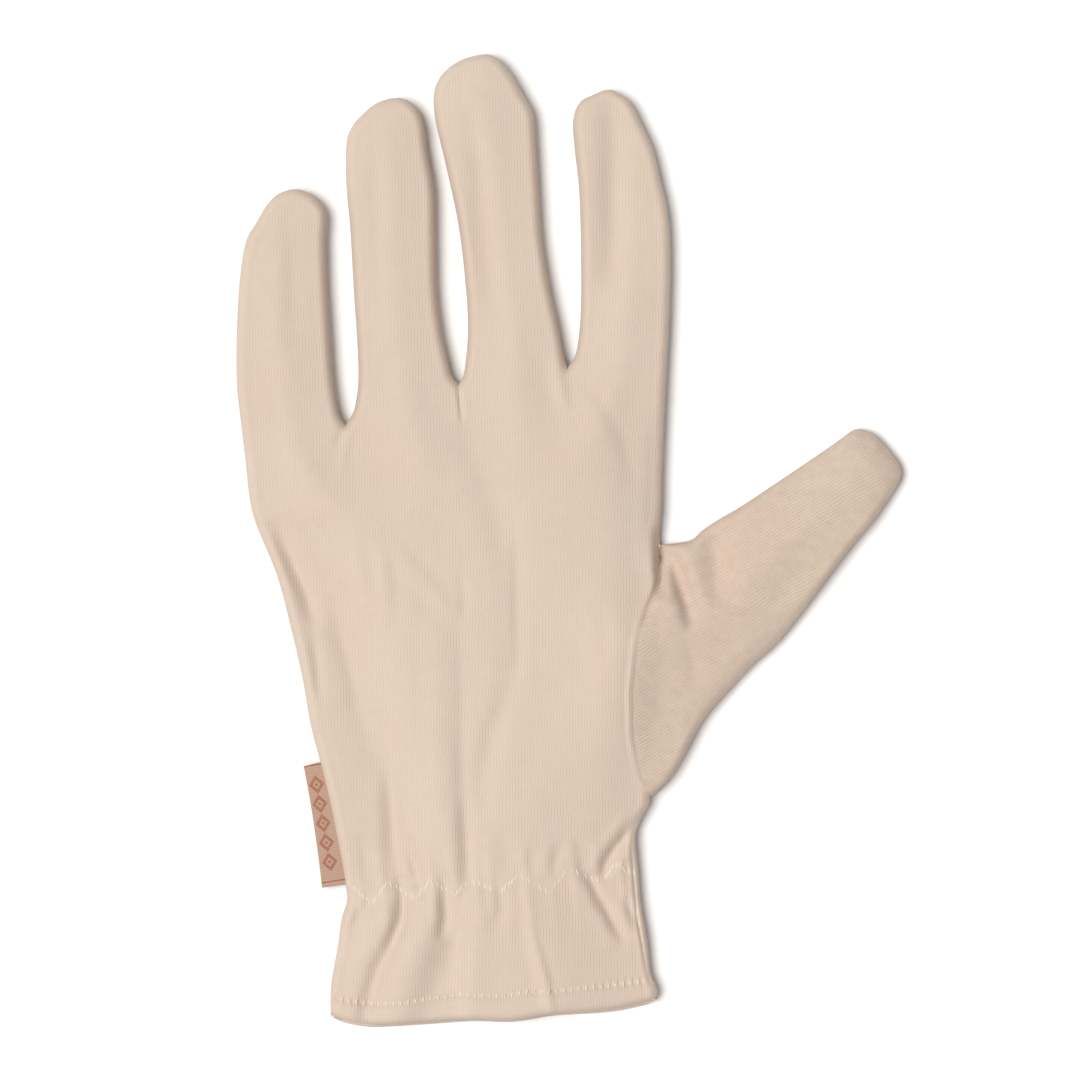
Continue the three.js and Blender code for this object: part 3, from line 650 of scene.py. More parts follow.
@dataclass
class Sheet:
    """A surface of quads in the plan's millimetres, with points counted once.

    Attributes:
        points: one point a row.
        quads: four point numbers a row, anticlockwise seen from outside.
        extra: how far each point lies further out on the flat cloth than in plan.
        hem: whether each point lies on the hem's edge.
    """

    points: Array
    quads: Array
    extra: Array
    hem: Array

    @classmethod
    def joined(cls, grids: Sequence[Grid]) -> "Sheet":
        """Join grids of points whose edges meet.

        Args:
            grids: rows and columns of points with their extra cloth, and whether the grid faces up.

        Returns:
            The joined sheet. Its hem flags are unset.
        """
        points, quads, count = [], [], 0
        for grid, faces_up in grids:
            cells = grid_quads(count + np.arange(grid[..., 0].size).reshape(grid.shape[:2]))
            a, b, c = grid[0, 0], grid[0, -1], grid[-1, 0]
            turns_up = (b[0] - a[0]) * (c[1] - a[1]) > (b[1] - a[1]) * (c[0] - a[0])
            quads.append(cells if turns_up == faces_up else cells[:, ::-1])
            points.append(grid.reshape(-1, 4))
            count += len(points[-1])
        every = np.vstack(points)
        _, first, back = np.unique(np.round(every[:, :3], 3), axis=0, return_index=True, return_inverse=True)
        kept = every[first]
        return cls(kept[:, :3], back.reshape(-1)[np.vstack(quads)], kept[:, 3], np.zeros(len(kept), bool))

    def facing(self) -> Array:
        """The outward direction of every quad, twice its area long."""
        a, b, c, d = (self.points[self.quads[:, k]] for k in range(4))
        return np.cross(c - a, d - b)

    def normals(self) -> Array:
        """Work out the outward direction at every point.

        Returns:
            One direction a row, one long.
        """
        facing, sums = self.facing(), np.zeros_like(self.points)
        for k in range(4):
            np.add.at(sums, self.quads[:, k], facing)
        return unit(sums)

    def area(self) -> float:
        """Area in square metres."""
        return float(np.linalg.norm(self.facing(), axis=1).sum() / 2) * MM**2

    def rim(self) -> Array:
        """Find the open edges.

        Returns:
            Pairs of point numbers, with the sheet on their left.
        """
        sides = np.vstack([self.quads[:, [k, (k + 1) % 4]] for k in range(4)])
        sides = sides[sides[:, 0] != sides[:, 1]]
        there, back = (sides @ way for way in ((len(self.points), 1), (1, len(self.points))))
        return sides[~np.isin(there, back)]

    def flat(self, outward: Array) -> Array:
        """Where each point lay on the flat cloth: in plan, with the rounded sides unrolled outwards."""
        return self.points[:, :2] + unit(outward[:, :2]) * self.extra[:, None]


def directions_at(points: Array, source: Sheet) -> Array:
    """Look up the outward directions of a larger sheet at points that it shares."""
    table = {tuple(key): normal for key, normal in zip(np.round(source.points, 3), source.normals())}
    return np.array([table[tuple(key)] for key in np.round(points, 3)])


@dataclass(frozen=True)
class Wall:
    """How a sheet becomes a wall of cloth.

    Attributes:
        inner: depth of the inner side under the sheet, or one for each point.
        outer: depth of the outer side.
        tuck: how far the sewn edges sink into the seam, or one for each point.
        bulge: how far the edge's roll stands out, or one for each point.
        steps: rows of faces round the edge.
    """

    inner: float | Array
    outer: float = 0.0
    tuck: float | Array = 0.0
    bulge: float | Array = 0.15
    steps: int = 2

    def build(self, sheet: Sheet, outward: Array) -> tuple[Array, Faces, Array]:
        """Make the closed wall.

        Args:
            sheet: the surface that the depths are measured from.
            outward: the direction at each of its points.

        Returns:
            Points, faces, and where each point lay on the flat cloth.
        """
        rim, edge = sheet.rim(), np.zeros_like(sheet.points)
        ways = unit(sheet.points[rim[:, 1]] - sheet.points[rim[:, 0]])
        for k in (0, 1):
            np.add.at(edge, rim[:, k], ways)
        off = unit(np.cross(edge, outward))
        on_rim = np.zeros(len(sheet.points), bool)
        on_rim[rim] = True
        sink = self.tuck * (1 + 0.3 * np.cos(2 * math.pi * sheet.points.sum(1) / STITCH_PITCH))
        points = sheet.points - np.where(on_rim & ~sheet.hem, sink, 0.0)[:, None] * outward
        count, inner = len(points), np.broadcast_to(self.inner, len(points))[:, None]
        at_rim = np.flatnonzero(on_rim)
        bulge = np.where(sheet.hem, inner[:, 0] / 2, self.bulge)[at_rim, None]
        layers = [points - outward * self.outer, points - outward * inner]
        for k in range(1, self.steps):
            angle = math.pi * k / self.steps
            depth = self.outer + (inner[at_rim] - self.outer) * (1 - math.cos(angle)) / 2
            layers.append(points[at_rim] - outward[at_rim] * depth + off[at_rim] * bulge * math.sin(angle))
        # point numbers of the rim on the outer side, on each ring round the edge and on the inner side
        rings = np.zeros((self.steps + 1, count), int)
        rings[0], rings[-1] = np.arange(count), np.arange(count) + count
        rings[1:-1, at_rim] = 2 * count + np.arange((self.steps - 1) * len(at_rim)).reshape(-1, len(at_rim))
        i, j = rings[:, rim[:, 0]], rings[:, rim[:, 1]]
        band = np.stack([j[:-1], i[:-1], i[1:], j[1:]], axis=-1).transpose(1, 0, 2).reshape(-1, 4)
        faces = np.vstack([sheet.quads, count + sheet.quads[:, ::-1], band]).tolist()
        flat = sheet.flat(outward)
        return np.vstack(layers), faces, np.vstack([flat, flat, *[flat[at_rim]] * (self.steps - 1)])


def place_mesh(
    name: str, points: Array, faces: Faces, material: bpy.types.Material, flat: Array | None = None
) -> Piece:
    """Put a mesh into the scene and on the glove's body.

    Args:
        name: the piece's name.
        points: in the plan's millimetres.
        faces: point numbers.
        material: its finish.
        flat: where each point lay on the flat cloth.

    Returns:
        The new object.
    """
    shifted = (points - np.array([*PLAN_MIDDLE, 0.0])) * MM
    # where two corners of a quad are one point, it becomes a triangle
    clean = [[k for n, k in enumerate(face) if k != face[n - 1]] for face in faces]
    clean = [face for face in clean if len(face) > 2]
    mesh = bpy.data.meshes.new(name)
    mesh.from_pydata(shifted.tolist(), [], clean)
    mesh.shade_smooth()
    mesh.set_sharp_from_angle(angle=math.radians(SHARP_ANGLE))
    mesh.materials.append(material)
    if flat is not None:
        layer = mesh.attributes.new(FLAT_CLOTH, "FLOAT_VECTOR", "POINT")
        layer.data.foreach_set("vector", np.column_stack([flat, points[:, 2] * 0]).ravel())
    mesh.update()
    piece = bpy.data.objects.new(name, mesh)
    bpy.context.scene.collection.objects.link(piece)
    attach(piece, BODY)
    LOG.info("%s: %d points, %d faces", name, len(points), len(clean))
    return piece


@dataclass
class ClothCut:
    """The plan grids of the glove's panels, and their lifted surfaces."""

    finger_columns: int = 36
    finger_rows: int = 84
    thumb_rows: int = 88
    hand_rows: tuple[int, ...] = (52, 86, 22, 9, 44)  # down to the crotch, heel, elastic, below it and hem
    hem_spread: float = 0.75  # how much closer the columns lie at the hem's ends
    mouth_reach: float = 0.25  # share of the thumb's length over which its columns even out towards the seam

    def levels(self) -> Array:
        """Find where bands of rows start and end.

        Returns:
            Heights on the little side and on the thumb side, from the fingers' roots to the hem.
        """
        seam = ((PLAN.left_crotch, PLAN.crotch), (PLAN.left_heel, PLAN.heel))
        (left_high, left_low), (right_high, right_low) = PLAN.elastic
        return np.array([ROOT_HEIGHTS, *seam, (left_high, right_high), (left_low, right_low), HEM_HEIGHTS])

    def row_heights(self, bands: range) -> Array:
        """Space the rows of some bands evenly.

        Args:
            bands: the bands, counted from the fingers' roots.

        Returns:
            Heights on the little side and on the thumb side, one row for each.
        """
        levels, rows = self.levels(), []
        for band in bands:
            shares = np.linspace(0, 1, self.hand_rows[band] + 1)[:-1, None]
            rows.append(blend(levels[band], levels[band + 1], shares))
        return np.vstack([*rows, levels[bands[-1] + 1]])

    def hand(self, bands: range = range(5)) -> Array:
        """Lay out the hand and cuff, or some bands of it.

        Args:
            bands: the bands, counted from the fingers' roots.

        Returns:
            The plan grid.
        """
        roots = [finger.outline.path[0] for finger in FINGERS] + [PLAN.thumb_side.path[0]]
        shares = crowded(self.finger_columns)[:-1, None]
        top = np.vstack([blend(a, b, shares) for a, b in zip(roots, roots[1:])] + [roots[-1]])
        even = np.linspace(0, 1, len(top))
        bottom = PLAN.hem.at(even - self.hem_spread * np.sin(2 * math.pi * even) / (2 * math.pi))
        heights = self.row_heights(bands)
        left, right = PLAN.little_side.at_height(heights[:, 0]), PLAN.thumb_side.at_height(heights[:, 1])
        down = ((ROOT_HEIGHTS[1] - heights[:, 1]) / (ROOT_HEIGHTS[1] - HEM_HEIGHTS[1]))[:, None, None]
        u = even[:, None]
        return blend(left[:, None], right[:, None], u) + blend(off_chord(top, u), off_chord(bottom, u), down)

    def finger(self, finger: Finger) -> Array:
        """Lay out one finger.

        Args:
            finger: its outline.

        Returns:
            The plan grid, from its root to its tip.
        """
        even, across = np.linspace(0, 1, self.finger_rows + 1), crowded(self.finger_columns)
        left, right = (side(slowing(even))[:, None] for side in (finger.left, finger.right))
        u, v = across[:, None], even[:, None, None]
        return blend(left, right, u) + off_chord(finger.tip(across), u) * v**2

    def thumb(self) -> Array:
        """Lay out the thumb.

        Returns:
            The plan grid, from its seam to its tip.
        """
        mouth = PLAN.thumb_side.at_height(self.row_heights(range(1, 2))[:, 1])
        along, across = slowing(np.linspace(0, 1, self.thumb_rows + 1)), crowded(len(mouth) - 1)
        upper, lower = PLAN.thumb_upper.at(along)[:, None], PLAN.thumb_lower.at(along)[:, None]
        u, v = across[:, None], along[:, None, None]
        # the mouth's points lie evenly down the seam, the outer rows' closer at both sides
        even = np.linspace(0, 1, len(mouth))[:, None]
        share = blend(even, u, smoothstep(v, 0.0, self.mouth_reach))
        tip = off_chord(PLAN.thumb_tip.at(across), u)
        return blend(upper, lower, share) + blend(off_chord(mouth, even), tip, v)

    def both_sides(self, grid: Array, seam: Array) -> tuple[Grid, Grid]:
        """Lift a plan grid to the back and to the palm.

        Args:
            grid: rows and columns of places.
            seam: whether each of them lies on the side seams.

        Returns:
            The back's grid and the palm's.
        """
        places = grid.reshape(-1, 2)
        inland = np.where(seam.reshape(-1), 0.0, np.maximum(RELIEF.inland(places), 1e-6))
        pair = []
        for faces_up, heights in ((True, RELIEF.back(places, inland)), (False, RELIEF.palm(places, inland))):
            heights = np.where(seam.reshape(-1), RELIEF.seam_height, heights)
            points = np.column_stack([places, heights, RELIEF.unrolled(inland, faces_up)])
            pair.append((points.reshape(*grid.shape[:2], 4), faces_up))
        return pair[0], pair[1]

    def surfaces(self) -> dict[str, Sequence[Grid]]:
        """Lift all the grids.

        Returns:
            The grids of the back, of the palm and of the thumb.
        """
        hand = self.hand()
        heights = self.row_heights(range(5))[:, 1]
        seam = np.zeros(hand.shape[:2], bool)
        seam[:, 0] = True
        seam[:, -1] = (heights >= PLAN.crotch) | (heights <= PLAN.heel)
        seam[0, :: self.finger_columns] = True
        pairs = [self.both_sides(hand, seam)]
        for grid in (*map(self.finger, FINGERS), self.thumb()):
            seam = np.zeros(grid.shape[:2], bool)
            seam[:, [0, -1]] = seam[-1] = True
            pairs.append(self.both_sides(grid, seam))
        back, palm = zip(*pairs[:-1])
        return {"back": back, "palm": palm, "thumb": pairs[-1]}


class Wiring:
    """The node tree of one material."""

    def __init__(self, name: str) -> None:
        """Start a material with a plain shader.

        Args:
            name: the material's name.
        """
        self.material = bpy.data.materials.new(name)
        self.material.use_nodes = True
        self.tree = self.material.node_tree
        self.shader = next(n for n in self.tree.nodes if n.type == "BSDF_PRINCIPLED")

    def add(self, kind: str, inputs: Inputs = (), **settings: Any) -> Any:
        """Add a node with its settings, values and links.

        Args:
            kind: Blender's name of the node type, after "ShaderNode".
            inputs: for each input a value, or an output to link from, in order or by name.
            settings: properties of the node.

        Returns:
            The node's outputs.
        """
        node = self.tree.nodes.new("ShaderNode" + kind)
        for name, value in settings.items():
            setattr(node, name, value)
        self.feed(node, inputs)
        return node.outputs

    def feed(self, node: bpy.types.Node, inputs: Inputs) -> None:
        """Set or link some inputs of a node.

        Args:
            node: the node.
            inputs: for each input a value, or an output to link from, in order or by name.
        """
        for key, value in inputs.items() if isinstance(inputs, dict) else enumerate(inputs):
            if isinstance(value, Socket):
                self.tree.links.new(value, node.inputs[key])
            else:
                node.inputs[key].default_value = value

    def millimetres(self, turn: float = 0.0, middle: Point = PLAN_MIDDLE) -> Socket:
        """Measure places on the piece in millimetres.

        Args:
            turn: radians by which they are turned about the upright axis.
            middle: the point of the plan to start from.

        Returns:
            The places.
        """
        place = self.add("TexCoord")["Object"]
        if middle != PLAN_MIDDLE:
            off = [(at - origin) * MM for at, origin in zip(middle, PLAN_MIDDLE)]
            place = self.add("VectorMath", (place, (*off, 0)), operation="SUBTRACT")[0]
        return self.add("Mapping", {"Vector": place, "Scale": (1 / MM,) * 3, "Rotation": (0, 0, turn)})[0]

    def finished(self, inputs: Inputs) -> bpy.types.Material:
        """Set the shader's inputs, and give the material."""
        self.feed(self.shader, inputs)
        return self.material


def band_scale(pitch: float) -> float:
    """Scale of a wave texture whose bands lie a pitch apart, in the coordinates' own unit."""
    return 2 * math.pi / (20 * pitch)


class WaleTurn(Enum):
    """Which way the knit's columns run, in degrees from straight up the glove."""

    HAND = 0.0
    THUMB = -60.0


@dataclass(frozen=True)
class CottonJersey:
    """Undyed cotton, knitted as single jersey: matt, with faint ribs up the glove and a short fuzz."""

    name: str
    turn: WaleTurn
    cream: str = "#dccec0"
    blush: str = "#ddcbbe"
    # painted shade, laid into the gaps between the columns, and with the tufts a little uneven tone
    shade: str = "#b29a86"
    depth: float = 0.95  # how strongly the columns show, in their bump and in the painted shade of their gaps
    wale: float = 0.75  # a column of stitches, millimetres
    course: float = 0.6  # a row of stitches
    waver: float = 0.5  # how far the columns stray, and over what length
    waver_length: float = 14.0
    valley: float = 0.16  # of the column's width, on each side of the line between two
    fibre: float = 0.3
    tuft: float = 2.6
    patch: float = 26.0  # of a faintly warmer tone

    def material(self) -> bpy.types.Material:
        """Build the finish.

        Returns:
            The material.
        """
        w = Wiring(self.name)
        place = w.millimetres()
        flat = w.add("Attribute", attribute_name=FLAT_CLOTH)["Vector"]
        straight = w.add("Mapping", {"Vector": flat, "Rotation": (0, 0, math.radians(-self.turn.value))})[0]
        fibres, tufts, patches, stray = (
            w.add("TexNoise", {"Vector": where, "Scale": 1 / size, "Detail": detail, "Roughness": rough})
            for where, size, detail, rough in (
                (place, self.fibre, 3, 0.65),
                (place, self.tuft, 3, 0.6),
                (place, self.patch, 4, 0.55),
                (straight, self.waver_length, 2, 0.5),
            )
        )
        centred = w.add("VectorMath", (stray["Color"], (0.5,) * 3), operation="SUBTRACT")[0]
        knit = w.add("VectorMath", (centred, (4 * self.waver,) * 3, straight), operation="MULTIPLY_ADD")[0]
        x, y, _ = w.add("SeparateXYZ", (knit,))
        # each column is a chain of Vs: two strands that lean towards its middle
        strand = w.add("Math", (x, self.wale / 2), operation="PINGPONG")[0]
        lean = w.add("Math", (strand, 1.5, y), operation="MULTIPLY_ADD")[0]
        rib, loop = (
            w.add("Math", (way, 2 * math.pi / pitch), operation="MULTIPLY")[0]
            for way, pitch in ((strand, self.wale), (lean, self.course))
        )
        rib, loop = (w.add("Math", (angle,), operation="SINE")[0] for angle in (rib, loop))
        gap = w.add("MapRange", {"Value": strand, "From Min": self.wale * self.valley, "From Max": 0})[0]
        # the ribs' relief, and what the loops, the fuzz, the gaps and, in the colour alone, the tufts add;
        # where the sum is low the colour turns to the shade colour: painted shade in the gaps between the
        # columns, mixed with the tufts' uneven tone
        relief = [rib]
        for part, share in ((loop, 0.3), (fibres["Fac"], 1.4), (gap, -0.9), (tufts["Fac"], -1.1)):
            relief.append(w.add("Math", (part, share, relief[-1]), operation="MULTIPLY_ADD")[0])
        bump = w.add("Bump", {"Height": relief[-2], "Distance": 0.1 * MM * self.depth, "Strength": 0.5})[0]
        deep = {"Value": relief[-1], "From Min": 1.5, "From Max": -0.8, "To Max": 0.36 * self.depth}
        shaded = w.add("MapRange", deep)[0]
        blushed = w.add("MapRange", {"Value": patches["Fac"], "From Min": 0.36, "From Max": 0.64})[0]
        colour = linear(self.cream)
        for share, other in ((blushed, self.blush), (shaded, self.shade)):
            colour = w.add("Mix", {0: share, 6: colour, 7: linear(other)}, data_type="RGBA")[2]
        return w.finished({
            "Base Color": colour, "Normal": bump, "Roughness": 0.95, "Specular IOR Level": 0.15,
            "Sheen Weight": 0.1, "Sheen Roughness": 0.6,
        })


@dataclass(frozen=True)
class ElasticWeb:
    """White woven elastic: rubber threads in cotton, which leave close ribs along the tape."""

    name: str = "elastic_web"
    thread: str = "#ebe6dc"
    shade: str = "#cfc7ba"
    rib: float = 0.9

    def material(self) -> bpy.types.Material:
        """Build the finish.

        Returns:
            The material.
        """
        w = Wiring(self.name)
        place = w.millimetres()
        bands = {"Vector": place, "Scale": band_scale(self.rib), "Distortion": 0.3, "Detail": 1}
        ribs = w.add("TexWave", bands, bands_direction="Y")["Fac"]
        weft = w.add("TexNoise", {"Vector": place, "Scale": 2.5, "Detail": 2})["Fac"]
        surface = w.add("Math", (weft, 0.5, ribs), operation="MULTIPLY_ADD")[0]
        bump = w.add("Bump", {"Height": surface, "Distance": 0.2 * MM, "Strength": 0.6})[0]
        colour = w.add("Mix", {0: ribs, 6: linear(self.shade), 7: linear(self.thread)}, data_type="RGBA")[2]
        return w.finished({
            "Base Color": colour, "Normal": bump, "Roughness": 0.8, "Specular IOR Level": 0.25,
        })


@dataclass(frozen=True)
class RibbonWeave:
    """Polyester ribbon, woven in satin with a plain row of diamonds: close, fine and a little glossy."""

    name: str = "ribbon_weave"
    ground: str = "#c1a390"
    shade: str = "#a98674"
    figure: str = "#98573f"
    pick: float = 0.5  # a weft thread, drawn twice as coarse as the real one so that it shows
    turn: float = 9.6  # degrees by which the ribbon leans from straight up the glove
    middle: Point = (-42.1, 49.8)  # the motif's centre in plan, nearer to the seam than to the fold
    diamonds: int = 5
    pitch: float = 4.9  # from one diamond's centre to the next, along the ribbon
    half_width: float = 2.0
    ring: Point = (0.74, 0.23)  # where a diamond's ring lies, and half its width, as shares of the diamond
    dot: float = 0.22
    line: Point = (14.7, 0.17)  # the cross line near each end: how far from the middle, and half its width

    def material(self) -> bpy.types.Material:
        """Build the finish.

        Returns:
            The material.
        """
        w = Wiring(self.name)
        turned = w.millimetres(math.radians(-self.turn), self.middle)
        x, y, _ = w.add("SeparateXYZ", (turned,))
        across, along = (w.add("Math", (way,), operation="ABSOLUTE")[0] for way in (x, y))
        # a row of diamonds, each a ring round a dot: the share across plus the share along, from its centre
        step = w.add("Math", (y, self.pitch / 2), operation="PINGPONG")[0]
        slope = w.add("Math", (step, 2 / self.pitch), operation="MULTIPLY")[0]
        reach = w.add("Math", (across, 1 / self.half_width, slope), operation="MULTIPLY_ADD")[0]
        ring, line = (
            w.add("Math", (way, *band), operation="COMPARE")[0]
            for way, band in ((reach, self.ring), (along, self.line))
        )
        dot, within = (
            w.add("Math", (way, limit), operation="LESS_THAN")[0]
            for way, limit in ((reach, self.dot), (along, self.diamonds * self.pitch / 2))
        )
        diamond = w.add("Math", (ring, dot), operation="MAXIMUM")[0]
        row = w.add("Math", (diamond, within), operation="MULTIPLY")[0]
        drawn = w.add("Math", (row, line), operation="MAXIMUM")[0]
        bands = {"Vector": turned, "Scale": band_scale(self.pick), "Distortion": 0.8, "Detail": 2}
        picks = w.add("TexWave", bands, bands_direction="Y")["Fac"]
        yarn = w.add("TexNoise", {"Vector": turned, "Scale": 2.2, "Detail": 3})["Fac"]
        worn = w.add("MapRange", {"Value": yarn, "From Min": 0.25, "From Max": 0.75, "To Min": 0.45})[0]
        seen = w.add("Math", (drawn, worn), operation="MULTIPLY")[0]
        colour = linear(self.shade)
        for share, other in ((picks, self.ground), (seen, self.figure)):
            colour = w.add("Mix", {0: share, 6: colour, 7: linear(other)}, data_type="RGBA")[2]
        height = w.add("Math", (seen, 0.6, picks), operation="MULTIPLY_ADD")[0]
        bump = w.add("Bump", {"Height": height, "Distance": 0.1 * MM, "Strength": 0.7})[0]
        return w.finished({
            "Base Color": colour, "Normal": bump, "Roughness": 0.6, "Specular IOR Level": 0.35,
            "Sheen Weight": 0.15,
        })


@dataclass(frozen=True)
class SpunThread:
    """Spun cotton sewing thread, twisted: lighter than the cloth, with a soft gloss."""

    name: str
    colour: str
    twist: float = 0.4
    lay: float = 0.8  # radians by which the plies' bands are turned

    def material(self) -> bpy.types.Material:
        """Build the finish.

        Returns:
            The material.
        """
        w = Wiring(self.name)
        bands = {"Vector": w.millimetres(self.lay), "Scale": band_scale(self.twist), "Distortion": 0.4}
        plies = w.add("TexWave", bands)["Fac"]
        bump = w.add("Bump", {"Height": plies, "Distance": 0.05 * MM, "Strength": 0.5})[0]
        tone = w.add("MapRange", {"Value": plies, "To Min": 0.88})[0]
        mix = {0: 1.0, 6: linear(self.colour), 7: tone}
        colour = w.add("Mix", mix, data_type="RGBA", blend_type="MULTIPLY")[2]
        return w.finished({"Base Color": colour, "Normal": bump, "Roughness": 0.7, "Specular IOR Level": 0.3})


@dataclass
class Panels:
    """The back, the palm and the thumb: walls of jersey that meet at the seams."""

    cut: ClothCut
    cloth: float = 0.85
    hem_cloth: float = 1.8
    tuck: float = 0.22
    roll: float = 0.18
    pieces: dict[str, Piece] = field(default_factory=dict)
    areas: dict[str, float] = field(default_factory=dict)
    grids: dict[str, Sequence[Grid]] = field(init=False)
    whole: Sheet = field(init=False)

    def __post_init__(self) -> None:
        """Lift all the grids and join them for the outward directions."""
        self.grids = self.cut.surfaces()
        self.whole = Sheet.joined([grid for grids in self.grids.values() for grid in grids])

    def add_panel(self, node: str, material: bpy.types.Material) -> None:
        """Turn joined grids into a wall of cloth, thicker where the hem is turned up.

        Args:
            node: the solid that it takes the place of.
            material: its finish.
        """
        sheet = Sheet.joined(self.grids[node])
        x, y, _ = sheet.points.T
        edge, row = hem_lines(x)
        sheet.hem = (np.abs(y - edge) < 0.02) & (y < HEM_HEIGHTS[1] + 0.1)
        thick = blend(self.cloth, self.hem_cloth, smoothstep(row - y, -0.6, 0.6))
        # the thumb's seam lies flush
        off_seam = np.abs(x - PLAN.thumb_side.at_height(y)[:, 0])
        flush = (off_seam < 0.05) & (y < PLAN.crotch) & (y > PLAN.heel)
        tuck, bulge = np.where(flush, 0.0, self.tuck), np.where(flush, 0.0, self.roll)
        wall = Wall(thick, tuck=tuck, bulge=bulge, steps=4)
        points, faces, flat = wall.build(sheet, directions_at(sheet.points, self.whole))
        piece = place_mesh(f"{node}_cloth", points, faces, material, flat)
        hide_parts(node)
        self.pieces[node] = piece
        self.areas[node] = sheet.area()
        LOG.info("%s: %.1f square centimetres of cloth", piece.name, sheet.area() * 1e4)

    def build(self) -> None:
        """Make the three panels."""
        jersey = CottonJersey("cotton_jersey", WaleTurn.HAND).material()
        turned = CottonJersey(
            "cotton_jersey_thumb", WaleTurn.THUMB, cream="#e6d8c9", blush="#e8d5c8", depth=2.3
        ).material()
        for node, material in (("palm", jersey), ("back", jersey), ("thumb", turned)):
            self.add_panel(node, material)

    def build_elastic(self) -> Piece:
        """Make the tape inside the wrist: a ring that follows the gathered cloth.

        Returns:
            The new piece.
        """
        band = self.cut.hand(range(3, 4))
        seam = np.zeros(band.shape[:2], bool)
        seam[:, [0, -1]] = True
        ring = Sheet.joined(self.cut.both_sides(band, seam))
        wall = Wall(outer=self.cloth + 0.1, inner=self.cloth + 0.8)
        points, faces, flat = wall.build(ring, directions_at(ring.points, self.whole))
        piece = place_mesh("elastic_tape", points, faces, ElasticWeb().material(), flat)
        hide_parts("wrist_elastic")
        return piece


@dataclass
class SideLabel:
    """The ribbon caught in the little finger's side seam: one strip folded double, which droops a little."""

    low: float = 34.6
    high: float = 65.0
    low_width: float = 5.6
    high_width: float = 4.0
    ribbon: float = 0.28
    gap: float = 0.12
    rows: int = 60
    columns: int = 14
    foot: float = -1.4  # how far in from the seam it starts, and how far above it
    lift: float = 0.75
    droop: float = 1.3
    wave: float = 0.12

    def build(self) -> None:
        """Make the folded ribbon."""
        share = np.linspace(0, 1, self.rows + 1)[:, None]
        seam = PLAN.little_side.at_height(blend(self.low, self.high, share[:, 0]))
        width = blend(self.low_width, self.high_width, share)
        way = unit(np.gradient(seam, axis=0))
        outward = np.stack([-way[:, 1], way[:, 0]], axis=1)
        # the upper layer runs out to the fold, goes round it and comes back below
        radius = self.ribbon + self.gap / 2
        flat, turn = np.linspace(0, 1, self.columns + 1), np.linspace(0, math.pi, 9)[1:-1]
        reach = np.concatenate([flat, np.ones_like(turn), flat[::-1]])
        extra = np.concatenate([0 * flat, np.sin(turn), 0 * flat]) * radius
        level = np.concatenate([0 * flat + 1, np.cos(turn), 0 * flat - 1]) * radius
        out = blend(self.foot, width, reach) + extra
        hang = np.clip(out / width, 0, 1.2) ** 2 * self.droop
        wave = self.wave * np.sin(share * 9.0 + 0.5) * np.clip(out / width, 0, 1)
        height = RELIEF.seam_height + self.lift + level - hang + wave
        grid = np.dstack([seam[:, None] + out[..., None] * outward[:, None], height])[::-1]
        number = np.arange(height.size).reshape(height.shape)
        none = np.zeros(number.size)
        sheet = Sheet(grid.reshape(-1, 3), grid_quads(number), none, none > 0)
        if sheet.normals()[number[self.rows // 2, self.columns // 2], 2] < 0:
            sheet.quads = sheet.quads[:, ::-1]
        points, faces, _ = Wall(self.ribbon, bulge=0.05).build(sheet, sheet.normals())
        piece = place_mesh("woven_side_label", points, faces, RibbonWeave().material())
        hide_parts("side_label")


